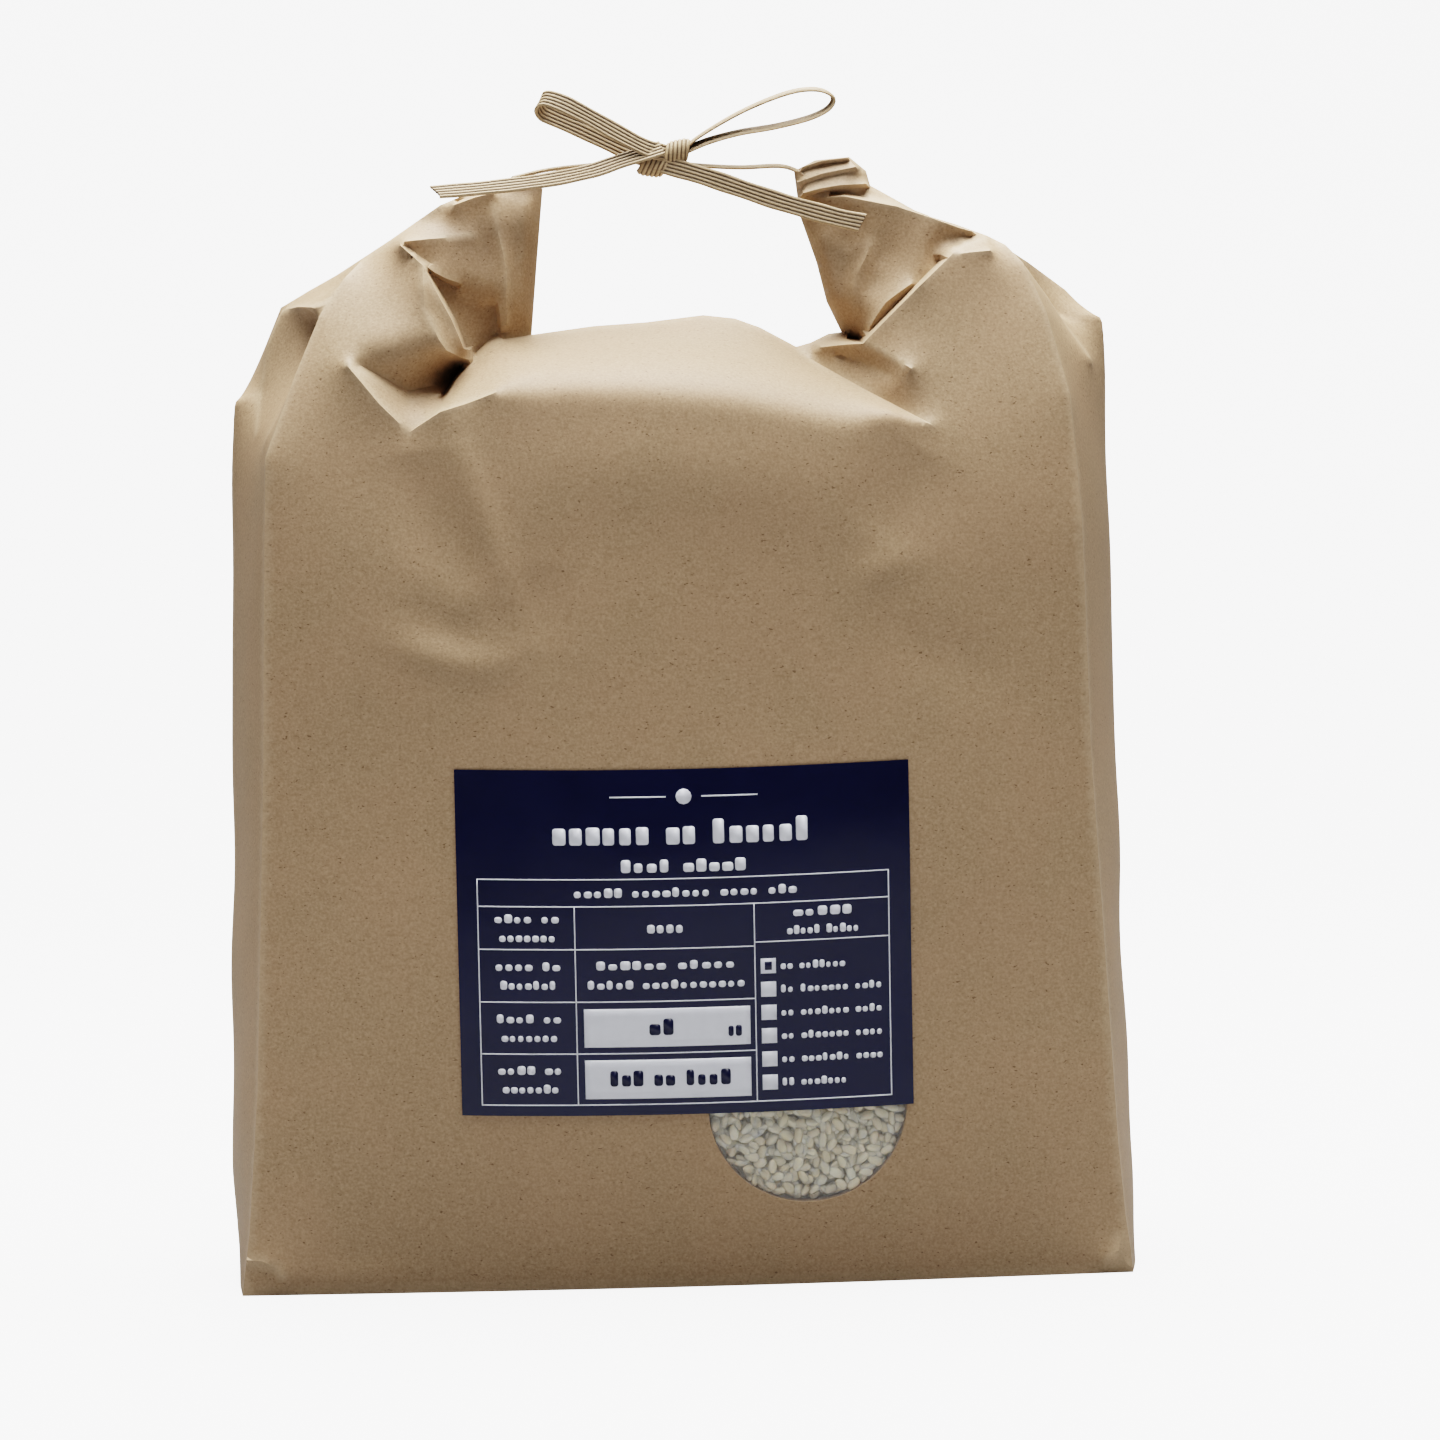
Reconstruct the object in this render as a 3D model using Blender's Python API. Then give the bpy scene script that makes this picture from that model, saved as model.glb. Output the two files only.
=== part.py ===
"""A shut kraft paper rice bag: a side-gusseted sack whose top is rolled back and tied up into two ears.

Each paper panel is stretched between its creases and folds, which are named lines in millimetres,
and swells outwards by a small push. X runs along the front, Y from front to back, Z up.
The origin is the middle of the base.
"""

import math
import random

import bmesh
import bpy
import numpy as np
from mathutils import Matrix, Vector
from mathutils.geometry import delaunay_2d_cdt

MM = 0.001

# Driving sizes of the bag, in millimetres
HALF_BASE = 153.0
HALF_DEPTH = 41.0
BASE_BOW = 5.0
SIDE_SWELL = 158.7
LEFT_GUSSET_TOP = 305.5
RIGHT_GUSSET_TOP = 329.0
SHEET_STEP = 6.0
BODY_STEP = 14.0
SHOULDER_FROM = 282.0
FRONT_PUSH = 0.0019
BACK_PUSH = 0.0019
SIDE_PUSH = 0.004

# The roll, folded back along the top fold
ROLL_THICKNESS = 7.0
ROLL_EDGE = 2.0
ROLL_ROUNDING = 4.0

# Window, film, rice and label, in millimetres
WINDOW_X = 41.3
WINDOW_Z = 63.0
WINDOW_RADIUS = 34.0
WINDOW_WALL = 0.6
WINDOW_DEPTH = 9.0
WINDOW_SIDES = 40
DISC_RADIUS = 32.9
FILM_FRONT = 0.3
FILM_BACK = 0.7
CORE_FRONT = 3.6
CORE_BACK = 8.6
GRAIN_LENGTH = 5.4
GRAIN_WIDTH = 3.0
GRAIN_THICKNESS = 2.4
GRAIN_PITCH = 3.3
GRAIN_TRIES = 4200
LABEL_LEFT = -76.2
LABEL_RIGHT = 77.5
LABEL_TOP = 179.8
LABEL_BOTTOM = 61.9
LABEL_SAG = 1.2
LABEL_GAP = 0.35
LABEL_THICKNESS = 0.6
LABEL_STEP = 11.0

# The paper string
STRING_WIDTH = 5.6
STRING_THICKNESS = 1.3
KNOT_RADIUS = 5.2

# Creases between the front and the side panels, from the base up to the ears
LEFT_FRONT_CREASE = (
    (-HALF_BASE, -HALF_DEPTH, 0), (-150, -41, 22), (-146, -41, 70), (-141, -41, 180),
    (-139.5, -41, 231), (-137.5, -40, 286), (-127.5, -30, 313.5), (-119, -22, 334),
    (-110.5, -14, 347), (-103, -4, 355),
)
RIGHT_FRONT_CREASE = (
    (HALF_BASE, -HALF_DEPTH, 0), (149.5, -41, 14), (146, -41, 67), (141, -41, 180),
    (139, -41, 259), (136, -36, 302), (129, -27, 331), (122.5, -20, 347.5),
    (117, -15, 354), (111.5, -8, 357.5),
)

# Creases between the back and the side panels
LEFT_BACK_CREASE = (
    (-HALF_BASE, HALF_DEPTH, 0), (-150, 41, 22), (-146, 41, 70), (-142, 41, 180),
    (-144, 41, 260), (-150, 34, LEFT_GUSSET_TOP), (-134.5, 15, 338), (-124, 7, 343.5),
    (-114, 1, 348.5), (-103, -4, 355),
)
RIGHT_BACK_CREASE = (
    (HALF_BASE, HALF_DEPTH, 0), (149.5, 41, 14), (146, 41, 67), (142, 41, 180),
    (145, 41, 280), (152.5, 30, RIGHT_GUSSET_TOP), (140.7, 13, 339), (126.5, 2, 348.5),
    (111.5, -8, 357.5),
)

# The top fold: up the left ear, down its inner edge, over the pillow and up the right ear
TOP_FOLD = (
    (-103, -4, 355), (-95, -4, 360), (-77.5, -3, 371.7), (-67, 0, 376), (-55, 1, 380),
    (-42, 1, 377), (-44.5, 2, 352.5), (-47, 8, 326.6), (-25.5, 7, 329.3), (-7, 7, 330.3),
    (13, 7, 332.4), (24, 6, 331), (32.5, 3, 327.7), (44.8, -3, 320.6), (50, 1, 322),
    (56.5, 4, 325), (61, 5, 325.5), (55.7, 2, 336), (52.4, 0, 349.5), (47, 0, 366),
    (45.3, 0, 381.4), (52.7, 0, 385), (64.5, 0, 386), (70.4, 0, 381), (71.7, 0, 376),
    (89.4, 2, 366), (101.4, 0, 362), (111.5, -8, 357.5),
)

# The roll's lower edge on the back, from one ear's end to the other's
ROLL_HEM = (
    (-80, 0, 368.5), (-85, 0, 345), (-80, 0, 322), (-62, 0, 306), (-32, 0, 300), (0, 0, 300),
    (32, 0, 298.5), (64, 0, 303), (84, 0, 319), (88, 0, 343), (80, 0, 369),
)

# Folds in the front panel; the two tips are where the pleats under the ears end
LEFT_TIP = (-88.8, -42, 293.4)
RIGHT_TIP = (89.6, -42, 292.6)
PILLOW_CORNER = (-68.7, -42, 303)
SHOULDER_POINT = (-83.4, -20, 351)
KNUCKLE = (67.8, -23, 322.4)
FRONT_FOLDS = {
    "pillow_bend": (
        PILLOW_CORNER, (-41, -46, 308), (-7, -48, 307), (26.4, -48, 303), (60, -46, 297.5),
        RIGHT_TIP,
    ),
    "pillow_left_edge": (
        LEFT_TIP, (-79.4, -35, 300.4), (-75, -26, 307), (-68, -12, 317.4), (-62.8, -3, 323),
        (-47, 8, 326.6),
    ),
    "left_pocket": (
        LEFT_TIP, (-81, -28, 301.5), (-77, -14, 308), (-73, 0, 313.2), (-69.3, -3, 319.2),
        (-64, 5, 325), (-49, 8, 328.8),
    ),
    "left_pleat": ((-109.6, -38, 316.8), (-97, -41, 309.5), (-89.8, -42, 304.6), LEFT_TIP),
    "left_flap": ((-89.8, -42, 304.6), (-78, -21, 305.6)),
    "left_pleat_valley": ((-104, -30, 319.5), (-93.6, -20, 318), (-84, -10, 314)),
    "left_shoulder_rim": (
        (-85.2, -20, 346.2), (-82.6, -25, 336.5), (-81, -28, 328), (-77.6, -29, 322.4),
        (-75.4, -26, 320), (-71.2, -18, 319.2),
    ),
    "left_upper_fold": (
        (-90.8, -18, 357.6), SHOULDER_POINT, (-78.4, -18, 347.5), (-73.4, -13, 344.5),
        (-58.4, 0, 339), (-57.6, 4, 326),
    ),
    "left_inner_fold": (
        SHOULDER_POINT, (-80.8, -20, 345), (-76.4, -14, 336.4), (-72, -9, 328), (-70.5, -7, 323.5),
    ),
    "left_recess": ((-71, -2, 339.5), (-66, 6, 334), (-62.5, 7, 328)),
    "left_band": ((-60, -6, 365.5), (-55.8, -4, 342), (-52.7, -1, 330.5)),
    "pillow_right_edge": ((44.8, -3, 320.6), (55.2, -17, 312.5), (74.9, -32, 301), RIGHT_TIP),
    "right_pocket": ((57.2, -8, 314.3), (67, -18, 308), (75, -29, 303.2)),
    "right_flap": (
        (52.5, -8, 320), (64.5, -20, 319.8), KNUCKLE, (82.6, -36, 311.7), (80, -34, 304.5),
    ),
    "right_hole": ((62, 4, 324), (68, 2, 325)),
    "right_main_ridge": (
        KNUCKLE, (76, -27, 330), (86.5, -27, 340), (97.5, -23, 351), (111, -18, 352),
    ),
    "right_shadow_valley": ((68, 2, 325), (79, -9, 338), (89, -11, 349), (98, -9, 357)),
    "right_soft_ridge": ((73, -8, 365), (69.3, -10, 354.7), (65.7, -8, 343.4)),
    "right_inner_ridge": ((58.8, -6, 361), (60.7, -7, 355), (60.2, -5, 337.8)),
    "right_hollow": ((66, 0, 361), (65.5, 0, 350)),
    "right_roll_end": ((48.5, -7, 375.5), (60, -8, 376.5), (69, -7, 376.5)),
}

# Folds in the other panels; above its corner each gusset folds inwards
BACK_FOLDS = {
    "back_bend": ((-92, 42, 288), (-40, 47, 297), (0, 48, 299), (40, 47, 297), (92, 42, 288)),
    "left_ear_back": ((-70, 11, 368), (-68, 13, 350), (-70, 17, 325), (-82, 32, 300)),
    "right_ear_back": ((66, 10, 374), (76, 12, 350), (80, 16, 325), (88, 32, 300)),
}
LEFT_CORNER = (-151.3, 5, LEFT_GUSSET_TOP)
RIGHT_CORNER = (153, 5, RIGHT_GUSSET_TOP)
LEFT_FOLDS = {
    "left_centre": ((-SIDE_SWELL, 0, 36), (-155.6, 0, 149), (-153, 2, 250), LEFT_CORNER),
    "left_front_diagonal": (LEFT_CORNER, (-143, -24, 298)),
    "left_back_diagonal": (LEFT_CORNER, (-150.6, 26, 305)),
    "left_valley": ((-138, -3, 315), (-123, -4, 330), (-112, -5, 344)),
}
RIGHT_FOLDS = {
    "right_centre": ((SIDE_SWELL, 0, 28), (155.5, 0, 124), (154.1, 1, 230), RIGHT_CORNER),
    "right_front_diagonal": (RIGHT_CORNER, (147, -15, 316), (141, -32, 300)),
    "right_back_diagonal": (RIGHT_CORNER, (152.6, 24, 328)),
    "right_valley": ((143, -4, 325), (134, -5, 334), (123, -5, 346)),
}

PAPER = ("kraft_paper", (0.36, 0.235, 0.125), 0.85)
GRAINS = ("rice_grains", (0.62, 0.56, 0.44), 0.45)
FILM = ("clear_film", (0.85, 0.86, 0.85), 0.12)
LABEL = ("navy_label", (0.012, 0.016, 0.06), 0.2)
STRING = ("paper_string", (0.42, 0.29, 0.16), 0.8)


def clear_scene():
    """Removes what a new file holds."""
    for item in list(bpy.data.objects):
        bpy.data.objects.remove(item, do_unlink=True)


def material(look):
    """A plain material with a name, a colour and a roughness."""
    name, colour, roughness = look
    made = bpy.data.materials.new(name)
    made.use_nodes = True
    shader = made.node_tree.nodes["Principled BSDF"]
    shader.inputs["Base Color"].default_value = (*colour, 1.0)
    shader.inputs["Roughness"].default_value = roughness
    shader.inputs["Metallic"].default_value = 0.0
    made.diffuse_color = (*colour, 1.0)
    return made


def new_object(name, points, faces, look=None):
    """One object from points in millimetres, with its faces turned outwards."""
    mesh = bpy.data.meshes.new(name)
    mesh.from_pydata([tuple(float(c) * MM for c in p) for p in points], [], faces)
    cleaner = bmesh.new()
    cleaner.from_mesh(mesh)
    bmesh.ops.recalc_face_normals(cleaner, faces=cleaner.faces)
    cleaner.to_mesh(mesh)
    cleaner.free()
    made = bpy.data.objects.new(name, mesh)
    bpy.context.collection.objects.link(made)
    if look:
        mesh.materials.append(material(look))
    return made


def join(base, others):
    """One Boolean union of several solids into one."""
    helpers = bpy.data.collections.new(base.name + "_helpers")
    for item in others:
        helpers.objects.link(item)
    union = base.modifiers.new("Union", "BOOLEAN")
    union.operation = "UNION"
    union.operand_type = "COLLECTION"
    union.collection = helpers
    union.solver = "EXACT"
    bpy.context.view_layer.objects.active = base
    bpy.ops.object.modifier_apply(modifier=union.name)
    for item in others:
        bpy.data.objects.remove(item, do_unlink=True)
    bpy.data.collections.remove(helpers)


def along(keys, step):
    """Points on straight runs between the key points, about a step apart, keys included.

    Below the shoulders the step is the body's.
    """
    keys = np.asarray(keys, float)
    points = [keys[0]]
    for a, b in zip(keys[:-1], keys[1:]):
        spacing = BODY_STEP if max(a[2], b[2]) < SHOULDER_FROM + BODY_STEP else step
        count = max(1, round(float(np.linalg.norm(b - a)) / spacing))
        points += [a + (b - a) * i / count for i in range(1, count + 1)]
    return points


def curved(keys, step):
    """Points on one smooth curve through the key points, keys included."""
    keys = np.asarray(keys, float)
    padded = np.vstack([2 * keys[0] - keys[1], keys, 2 * keys[-1] - keys[-2]])
    points = [keys[0]]
    for p0, p1, p2, p3 in zip(padded, padded[1:], padded[2:], padded[3:]):
        count = max(1, round(float(np.linalg.norm(p2 - p1)) / step))
        for i in range(1, count + 1):
            t = i / count
            points.append(
                0.5 * (2 * p1 + (p2 - p0) * t + (2 * p0 - 5 * p1 + 4 * p2 - p3) * t**2
                       + (3 * p1 - p0 - 3 * p2 + p3) * t**3)
            )
    return points


def base_edge(start, end, bow):
    """The bowed lower edge of a panel, without its two ends."""
    start, end = np.asarray(start, float), np.asarray(end, float)
    count = round(float(np.linalg.norm(end - start)) / BODY_STEP)
    way = [start + (end - start) * i / count for i in range(1, count)]
    return [p + np.asarray(bow, float) * math.sin(math.pi * (i + 1) / count) for i, p in enumerate(way)]


def edge_weights(flat, triangles):
    """How strongly each edge of a flat sheet pulls, and the area that each point carries."""
    ends, pulls = [], []
    for i, j, k in ((0, 1, 2), (1, 2, 0), (2, 0, 1)):
        a = flat[triangles[:, i]] - flat[triangles[:, k]]
        b = flat[triangles[:, j]] - flat[triangles[:, k]]
        cross = np.abs(a[:, 0] * b[:, 1] - a[:, 1] * b[:, 0])
        pulls.append(np.clip(0.5 * (a * b).sum(1) / np.maximum(cross, 1e-9), 0.03, 4.0))
        ends.append(triangles[:, [i, j]])
    area = np.bincount(triangles.ravel(), np.repeat(cross / 6, 3), len(flat))
    return np.vstack(ends), np.concatenate(pulls), area


def stretch(flat, triangles, heights, held, push):
    """Heights of a sheet that is held at some points and swells by a push at the others."""
    ends, pulls, area = edge_weights(flat, triangles)
    count = len(flat)
    free = ~held
    diagonal = np.maximum(np.bincount(ends.ravel(), np.repeat(pulls, 2), count), 1e-9)

    def pull(h):
        flow = pulls * (h[ends[:, 0]] - h[ends[:, 1]])
        return np.bincount(ends[:, 0], flow, count) - np.bincount(ends[:, 1], flow, count)

    h = np.where(held, heights, heights[held].mean())
    rest = (push * area - pull(h)) * free
    step = rest / diagonal
    size = rest @ step
    for _ in range(3000):
        turned = pull(step) * free
        share = size / (step @ turned)
        h += share * step
        rest -= share * turned
        scaled = rest / diagonal
        grown = rest @ scaled
        if grown < 1e-10:
            break
        step = scaled + grown / size * step
        size = grown
    return h


def panel(across, out, rim, folds, push, free_lines=()):
    """A paper panel: points and triangles between its rim and its folds.

    across and out are the axes that the panel spreads along (with Z) and swells along.
    """
    points, edges, held = [], [], []
    for line, closed, fixed in (
        [(rim, True, True)]
        + [(along(keys, SHEET_STEP), False, True) for keys in folds.values()]
        + [(line, closed, False) for line, closed in free_lines]
    ):
        first = len(points)
        points += list(line)
        held += [fixed] * len(line)
        last = len(points) - 1
        edges += [(i, i + 1) for i in range(first, last)]
        if closed:
            edges.append((last, first))
    lines = np.array(points)[:, [across, 2]]
    low, high = lines.min(0), lines.max(0)
    for step, bottom, top in ((BODY_STEP, low[1], SHOULDER_FROM), (SHEET_STEP, SHOULDER_FROM, high[1])):
        rows = max(2, int((top - bottom) / (step * 0.87)))
        for row in range(rows):
            z = bottom + (top - bottom) * (row + 0.5) / rows
            for a in np.arange(low[0] + step * (0.5 if row % 2 else 1.0), high[0], step):
                if np.hypot(*(lines - (a, z)).T).min() > 0.55 * step:
                    points.append(np.array([a, 0.0, z] if across == 0 else [0.0, a, z]))
                    held.append(False)
    given = [Vector((p[across], p[2])) for p in points]
    flat, _, faces, sources, _, _ = delaunay_2d_cdt(given, edges, [], 1, 1e-5)
    flat = np.array([tuple(v) for v in flat])
    source = [s[0] if s else -1 for s in sources]
    fixed = np.array([s >= 0 and held[s] for s in source])
    heights = np.array([points[s][out] if s >= 0 else 0.0 for s in source])
    triangles = np.array(faces)
    used = np.zeros(len(flat), bool)
    used[triangles.ravel()] = True
    held_now = fixed | ~used
    solved = stretch(flat, triangles, heights, held_now, push)
    made = np.zeros((len(flat), 3))
    made[:, across] = flat[:, 0]
    made[:, 2] = flat[:, 1]
    made[:, out] = np.where(fixed, heights, solved)
    for i, s in enumerate(source):
        if s >= 0 and held[s]:
            made[i] = points[s]
    return made, triangles


def distance_to(line, spots):
    """How far each spot of the front view is from a line of points."""
    line = np.asarray(line)
    a, b = line[:-1], line[1:]
    best = np.full(len(spots), 1e9)
    for start, end in zip(a, b):
        way = end - start
        t = np.clip((spots - start) @ way / (way @ way), 0, 1)
        best = np.minimum(best, np.hypot(*(spots - start - t[:, None] * way).T))
    return best


def inside(outline, spots):
    """Which spots of the front view lie inside a closed outline."""
    found = np.zeros(len(spots), bool)
    x, z = spots[:, 0], spots[:, 1]
    for (x1, z1), (x2, z2) in zip(outline, outline[1:] + outline[:1]):
        crossed = (z1 > z) != (z2 > z)
        if z1 != z2:
            found ^= crossed & (x < (x2 - x1) * (z - z1) / (z2 - z1) + x1)
    return found


def inset(line, distance):
    """A line moved sideways in the front view, to the left of its own way."""
    moved = []
    for i, p in enumerate(line):
        way = line[min(i + 1, len(line) - 1)] - line[max(i - 1, 0)]
        side = np.array([-way[2], 0.0, way[0]]) / math.hypot(way[0], way[2])
        moved.append(p + side * distance)
    return moved


def sample(sheet, x, z):
    """The depth of a panel's surface at a place in the front view."""
    points, triangles = sheet
    a, b, c = (points[triangles[:, k]][:, [0, 2]] for k in range(3))
    v0, v1, v2 = b - a, c - a, np.array([x, z]) - a
    area = v0[:, 0] * v1[:, 1] - v0[:, 1] * v1[:, 0]
    area = np.where(np.abs(area) < 1e-9, 1e-9, area)
    s = (v2[:, 0] * v1[:, 1] - v2[:, 1] * v1[:, 0]) / area
    t = (v0[:, 0] * v2[:, 1] - v0[:, 1] * v2[:, 0]) / area
    best = np.argmax(np.minimum(np.minimum(s, t), 1 - s - t))
    depths = points[triangles[best]][:, 1]
    return float(depths[0] + s[best] * (depths[1] - depths[0]) + t[best] * (depths[2] - depths[0]))


def ring(radius, count):
    """Points of a circle round the window's middle."""
    turns = [2 * math.pi * i / count for i in range(count)]
    return [np.array([WINDOW_X + radius * math.cos(t), 0.0, WINDOW_Z + radius * math.sin(t)]) for t in turns]


def bag_panels():
    """The four standing panels and the base, and the front before its window is sunk."""
    rims = {}
    for name, keys in (
        ("left_front", LEFT_FRONT_CREASE), ("right_front", RIGHT_FRONT_CREASE),
        ("left_back", LEFT_BACK_CREASE), ("right_back", RIGHT_BACK_CREASE),
    ):
        rims[name] = along(keys, SHEET_STEP)
    top = along(TOP_FOLD, SHEET_STEP)
    corners = [rims[name][0] for name in ("left_front", "right_front", "right_back", "left_back")]
    front_edge = base_edge(corners[0], corners[1], (0, -BASE_BOW, 0))
    right_edge = base_edge(corners[1], corners[2], (2, 0, 0))
    back_edge = base_edge(corners[2], corners[3], (0, BASE_BOW, 0))
    left_edge = base_edge(corners[3], corners[0], (-2, 0, 0))

    front_rim = front_edge + rims["right_front"] + top[-2:0:-1] + rims["left_front"][::-1]
    back_rim = back_edge + rims["left_back"] + top[1:-1] + rims["right_back"][::-1]
    left_rim = left_edge + rims["left_front"] + rims["left_back"][-2::-1]
    right_rim = right_edge + rims["right_back"] + rims["right_front"][-2::-1]
    rings = [(ring(r, WINDOW_SIDES), True) for r in (WINDOW_RADIUS, WINDOW_RADIUS - WINDOW_WALL)]
    front = panel(0, 1, front_rim, FRONT_FOLDS, -FRONT_PUSH, rings)
    hem = curved(ROLL_HEM, SHEET_STEP)
    top_fold = [p[[0, 2]] for p in along(TOP_FOLD[5:22], SHEET_STEP)]
    back = panel(0, 1, back_rim, BACK_FOLDS, BACK_PUSH, [(hem, False), (inset(hem, ROLL_EDGE), False)])
    left = panel(1, 0, left_rim, LEFT_FOLDS, -SIDE_PUSH)
    right = panel(1, 0, right_rim, RIGHT_FOLDS, SIDE_PUSH)

    whole_front = (front[0].copy(), front[1])
    away = np.hypot(front[0][:, 0] - WINDOW_X, front[0][:, 2] - WINDOW_Z)
    front[0][away < WINDOW_RADIUS - WINDOW_WALL / 2, 1] += WINDOW_DEPTH

    spots = back[0][:, [0, 2]]
    hem_line = [p[[0, 2]] for p in hem]
    rise = np.clip(distance_to(hem_line, spots) / ROLL_EDGE, 0, 1)
    rise *= np.clip(distance_to([p[[0, 2]] for p in back_rim], spots) / ROLL_ROUNDING, 0, 1)
    back[0][:, 1] += ROLL_THICKNESS * rise * inside(hem_line + top_fold[::-1], spots)

    base_rim = front_edge + [corners[1]] + right_edge + [corners[2]] + back_edge + [corners[3]]
    base_rim += left_edge + [corners[0]]
    flat = [Vector((p[0], p[1])) for p in base_rim]
    count = len(flat)
    _, _, faces, sources, _, _ = delaunay_2d_cdt(
        flat, [(i, (i + 1) % count) for i in range(count)], [], 1, 1e-5
    )
    base = (np.array([base_rim[s[0]] for s in sources]), np.array(faces))
    return [front, back, left, right, base], whole_front


def make_bag():
    """The paper bag as one closed solid, with a shallow round recess for its window."""
    panels, whole_front = bag_panels()
    places, points, faces = {}, [], []
    for made, triangles in panels:
        index = []
        for p in made:
            key = tuple(np.round(p, 3))
            if key not in places:
                places[key] = len(points)
                points.append(p)
            index.append(places[key])
        for triangle in triangles:
            corners = [index[i] for i in triangle]
            if len(set(corners)) == 3:
                faces.append(corners)
    bag = new_object("bag", points, faces, PAPER)
    bag.data.shade_smooth()
    bag.data.set_sharp_from_angle(angle=math.radians(25))
    return whole_front


def make_label(front):
    """The printed label, a thin sheet that follows the front just clear of the paper."""
    columns = round((LABEL_RIGHT - LABEL_LEFT) / LABEL_STEP)
    rows = round((LABEL_TOP - LABEL_BOTTOM) / LABEL_STEP)
    points, faces = [], []
    for gap in (LABEL_GAP, LABEL_GAP + LABEL_THICKNESS):
        for r in range(rows + 1):
            for c in range(columns + 1):
                x = LABEL_LEFT + (LABEL_RIGHT - LABEL_LEFT) * c / columns
                z = LABEL_BOTTOM + (LABEL_TOP - LABEL_BOTTOM) * r / rows
                z -= LABEL_SAG * (1 - (2 * c / columns - 1) ** 2)
                points.append((x, sample(front, x, z) - gap, z))
    width = columns + 1
    layer = width * (rows + 1)
    for r in range(rows):
        for c in range(columns):
            a = r * width + c
            quad = (a, a + 1, a + width + 1, a + width)
            faces.append(quad[::-1])
            faces.append(tuple(i + layer for i in quad))
    border = [c for c in range(width)] + [r * width + columns for r in range(1, rows + 1)]
    border += [rows * width + c for c in range(columns - 1, -1, -1)]
    border += [r * width for r in range(rows - 1, 0, -1)]
    for a, b in zip(border, border[1:] + border[:1]):
        faces.append((a, b, b + layer, a + layer))
    new_object("label", points, faces, LABEL)


def disc(name, front, radius, near, far, look):
    """A round plate in the window that follows the front between two depths behind it."""
    circles, sides = 3, 32
    points, faces = [], []
    for depth in (near, far):
        points.append((WINDOW_X, sample(front, WINDOW_X, WINDOW_Z) + depth, WINDOW_Z))
        for c in range(1, circles + 1):
            for p in ring(radius * c / circles, sides):
                points.append((p[0], sample(front, p[0], p[2]) + depth, p[2]))
    layer = 1 + circles * sides
    for side in range(sides):
        after = (side + 1) % sides
        for start in (0, layer):
            faces.append((start, start + 1 + side, start + 1 + after))
            for c in range(circles - 1):
                inner, outer = start + 1 + c * sides, start + 1 + (c + 1) * sides
                faces.append((inner + side, outer + side, outer + after, inner + after))
        rim = 1 + (circles - 1) * sides
        faces.append((rim + side, rim + after, layer + rim + after, layer + rim + side))
    return new_object(name, points, faces, look)


def make_rice(front):
    """The rice behind the window: a core with the grains that show below the label fused on."""
    core = disc("rice", front, DISC_RADIUS, CORE_FRONT, CORE_BACK, GRAINS)
    draw = random.Random(7)
    placed, grains = [], []
    for _ in range(GRAIN_TRIES):
        radius = (DISC_RADIUS - GRAIN_LENGTH * 0.55) * math.sqrt(draw.random())
        turn = 2 * math.pi * draw.random()
        x, z = WINDOW_X + radius * math.cos(turn), WINDOW_Z + radius * math.sin(turn)
        if z > LABEL_BOTTOM + GRAIN_WIDTH:
            continue
        if any(math.hypot(x - px, z - pz) < GRAIN_PITCH for px, pz in placed):
            continue
        placed.append((x, z))
        size = draw.uniform(0.88, 1.08)
        grain = bmesh.new()
        bmesh.ops.create_uvsphere(grain, u_segments=6, v_segments=4, radius=0.5)
        turned = (
            Matrix.Translation((x * MM, (sample(front, x, z) + CORE_FRONT - draw.uniform(0.2, 0.7)) * MM, z * MM))
            @ Matrix.Rotation(draw.uniform(0, math.pi), 4, "Y")
            @ Matrix.Rotation(draw.uniform(-0.25, 0.25), 4, "X")
            @ Matrix.Diagonal((GRAIN_WIDTH * size * MM, GRAIN_THICKNESS * size * MM, GRAIN_LENGTH * size * MM, 1))
        )
        grain.transform(turned)
        mesh = bpy.data.meshes.new("grain")
        grain.to_mesh(mesh)
        grain.free()
        item = bpy.data.objects.new("grain", mesh)
        grains.append(item)
    join(core, grains)


def band(name, keys, wide, step=5.0):
    """A flat run of string along a smooth curve; wide is the way that its width points."""
    path = [Vector(p) for p in curved(keys, step)]
    points, faces = [], []
    for i, p in enumerate(path):
        way = (path[min(i + 1, len(path) - 1)] - path[max(i - 1, 0)]).normalized()
        face = way.cross(Vector(wide)).normalized()
        side = face.cross(way).normalized()
        for a, b in ((-1, -1), (1, -1), (1, 1), (-1, 1)):
            points.append(p + side * a * STRING_WIDTH / 2 + face * b * STRING_THICKNESS / 2)
    for i in range(len(path) - 1):
        for k in range(4):
            a, b = 4 * i + k, 4 * i + (k + 1) % 4
            faces.append((a, b, b + 4, a + 4))
    last = 4 * (len(path) - 1)
    faces += [(0, 3, 2, 1), (last, last + 1, last + 2, last + 3)]
    return new_object(name, points, faces, STRING)


def wrap(name, middle, way, length, radius):
    """One turn of string round the knot, a short round drum."""
    drum = bmesh.new()
    bmesh.ops.create_cone(
        drum, cap_ends=True, segments=12, radius1=radius, radius2=radius, depth=length
    )
    turned = Vector(way).to_track_quat("Z", "Y").to_matrix()
    points = [turned @ v.co + Vector(middle) for v in drum.verts]
    faces = [[v.index for v in f.verts] for f in drum.faces]
    drum.free()
    return new_object(name, points, faces)


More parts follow.
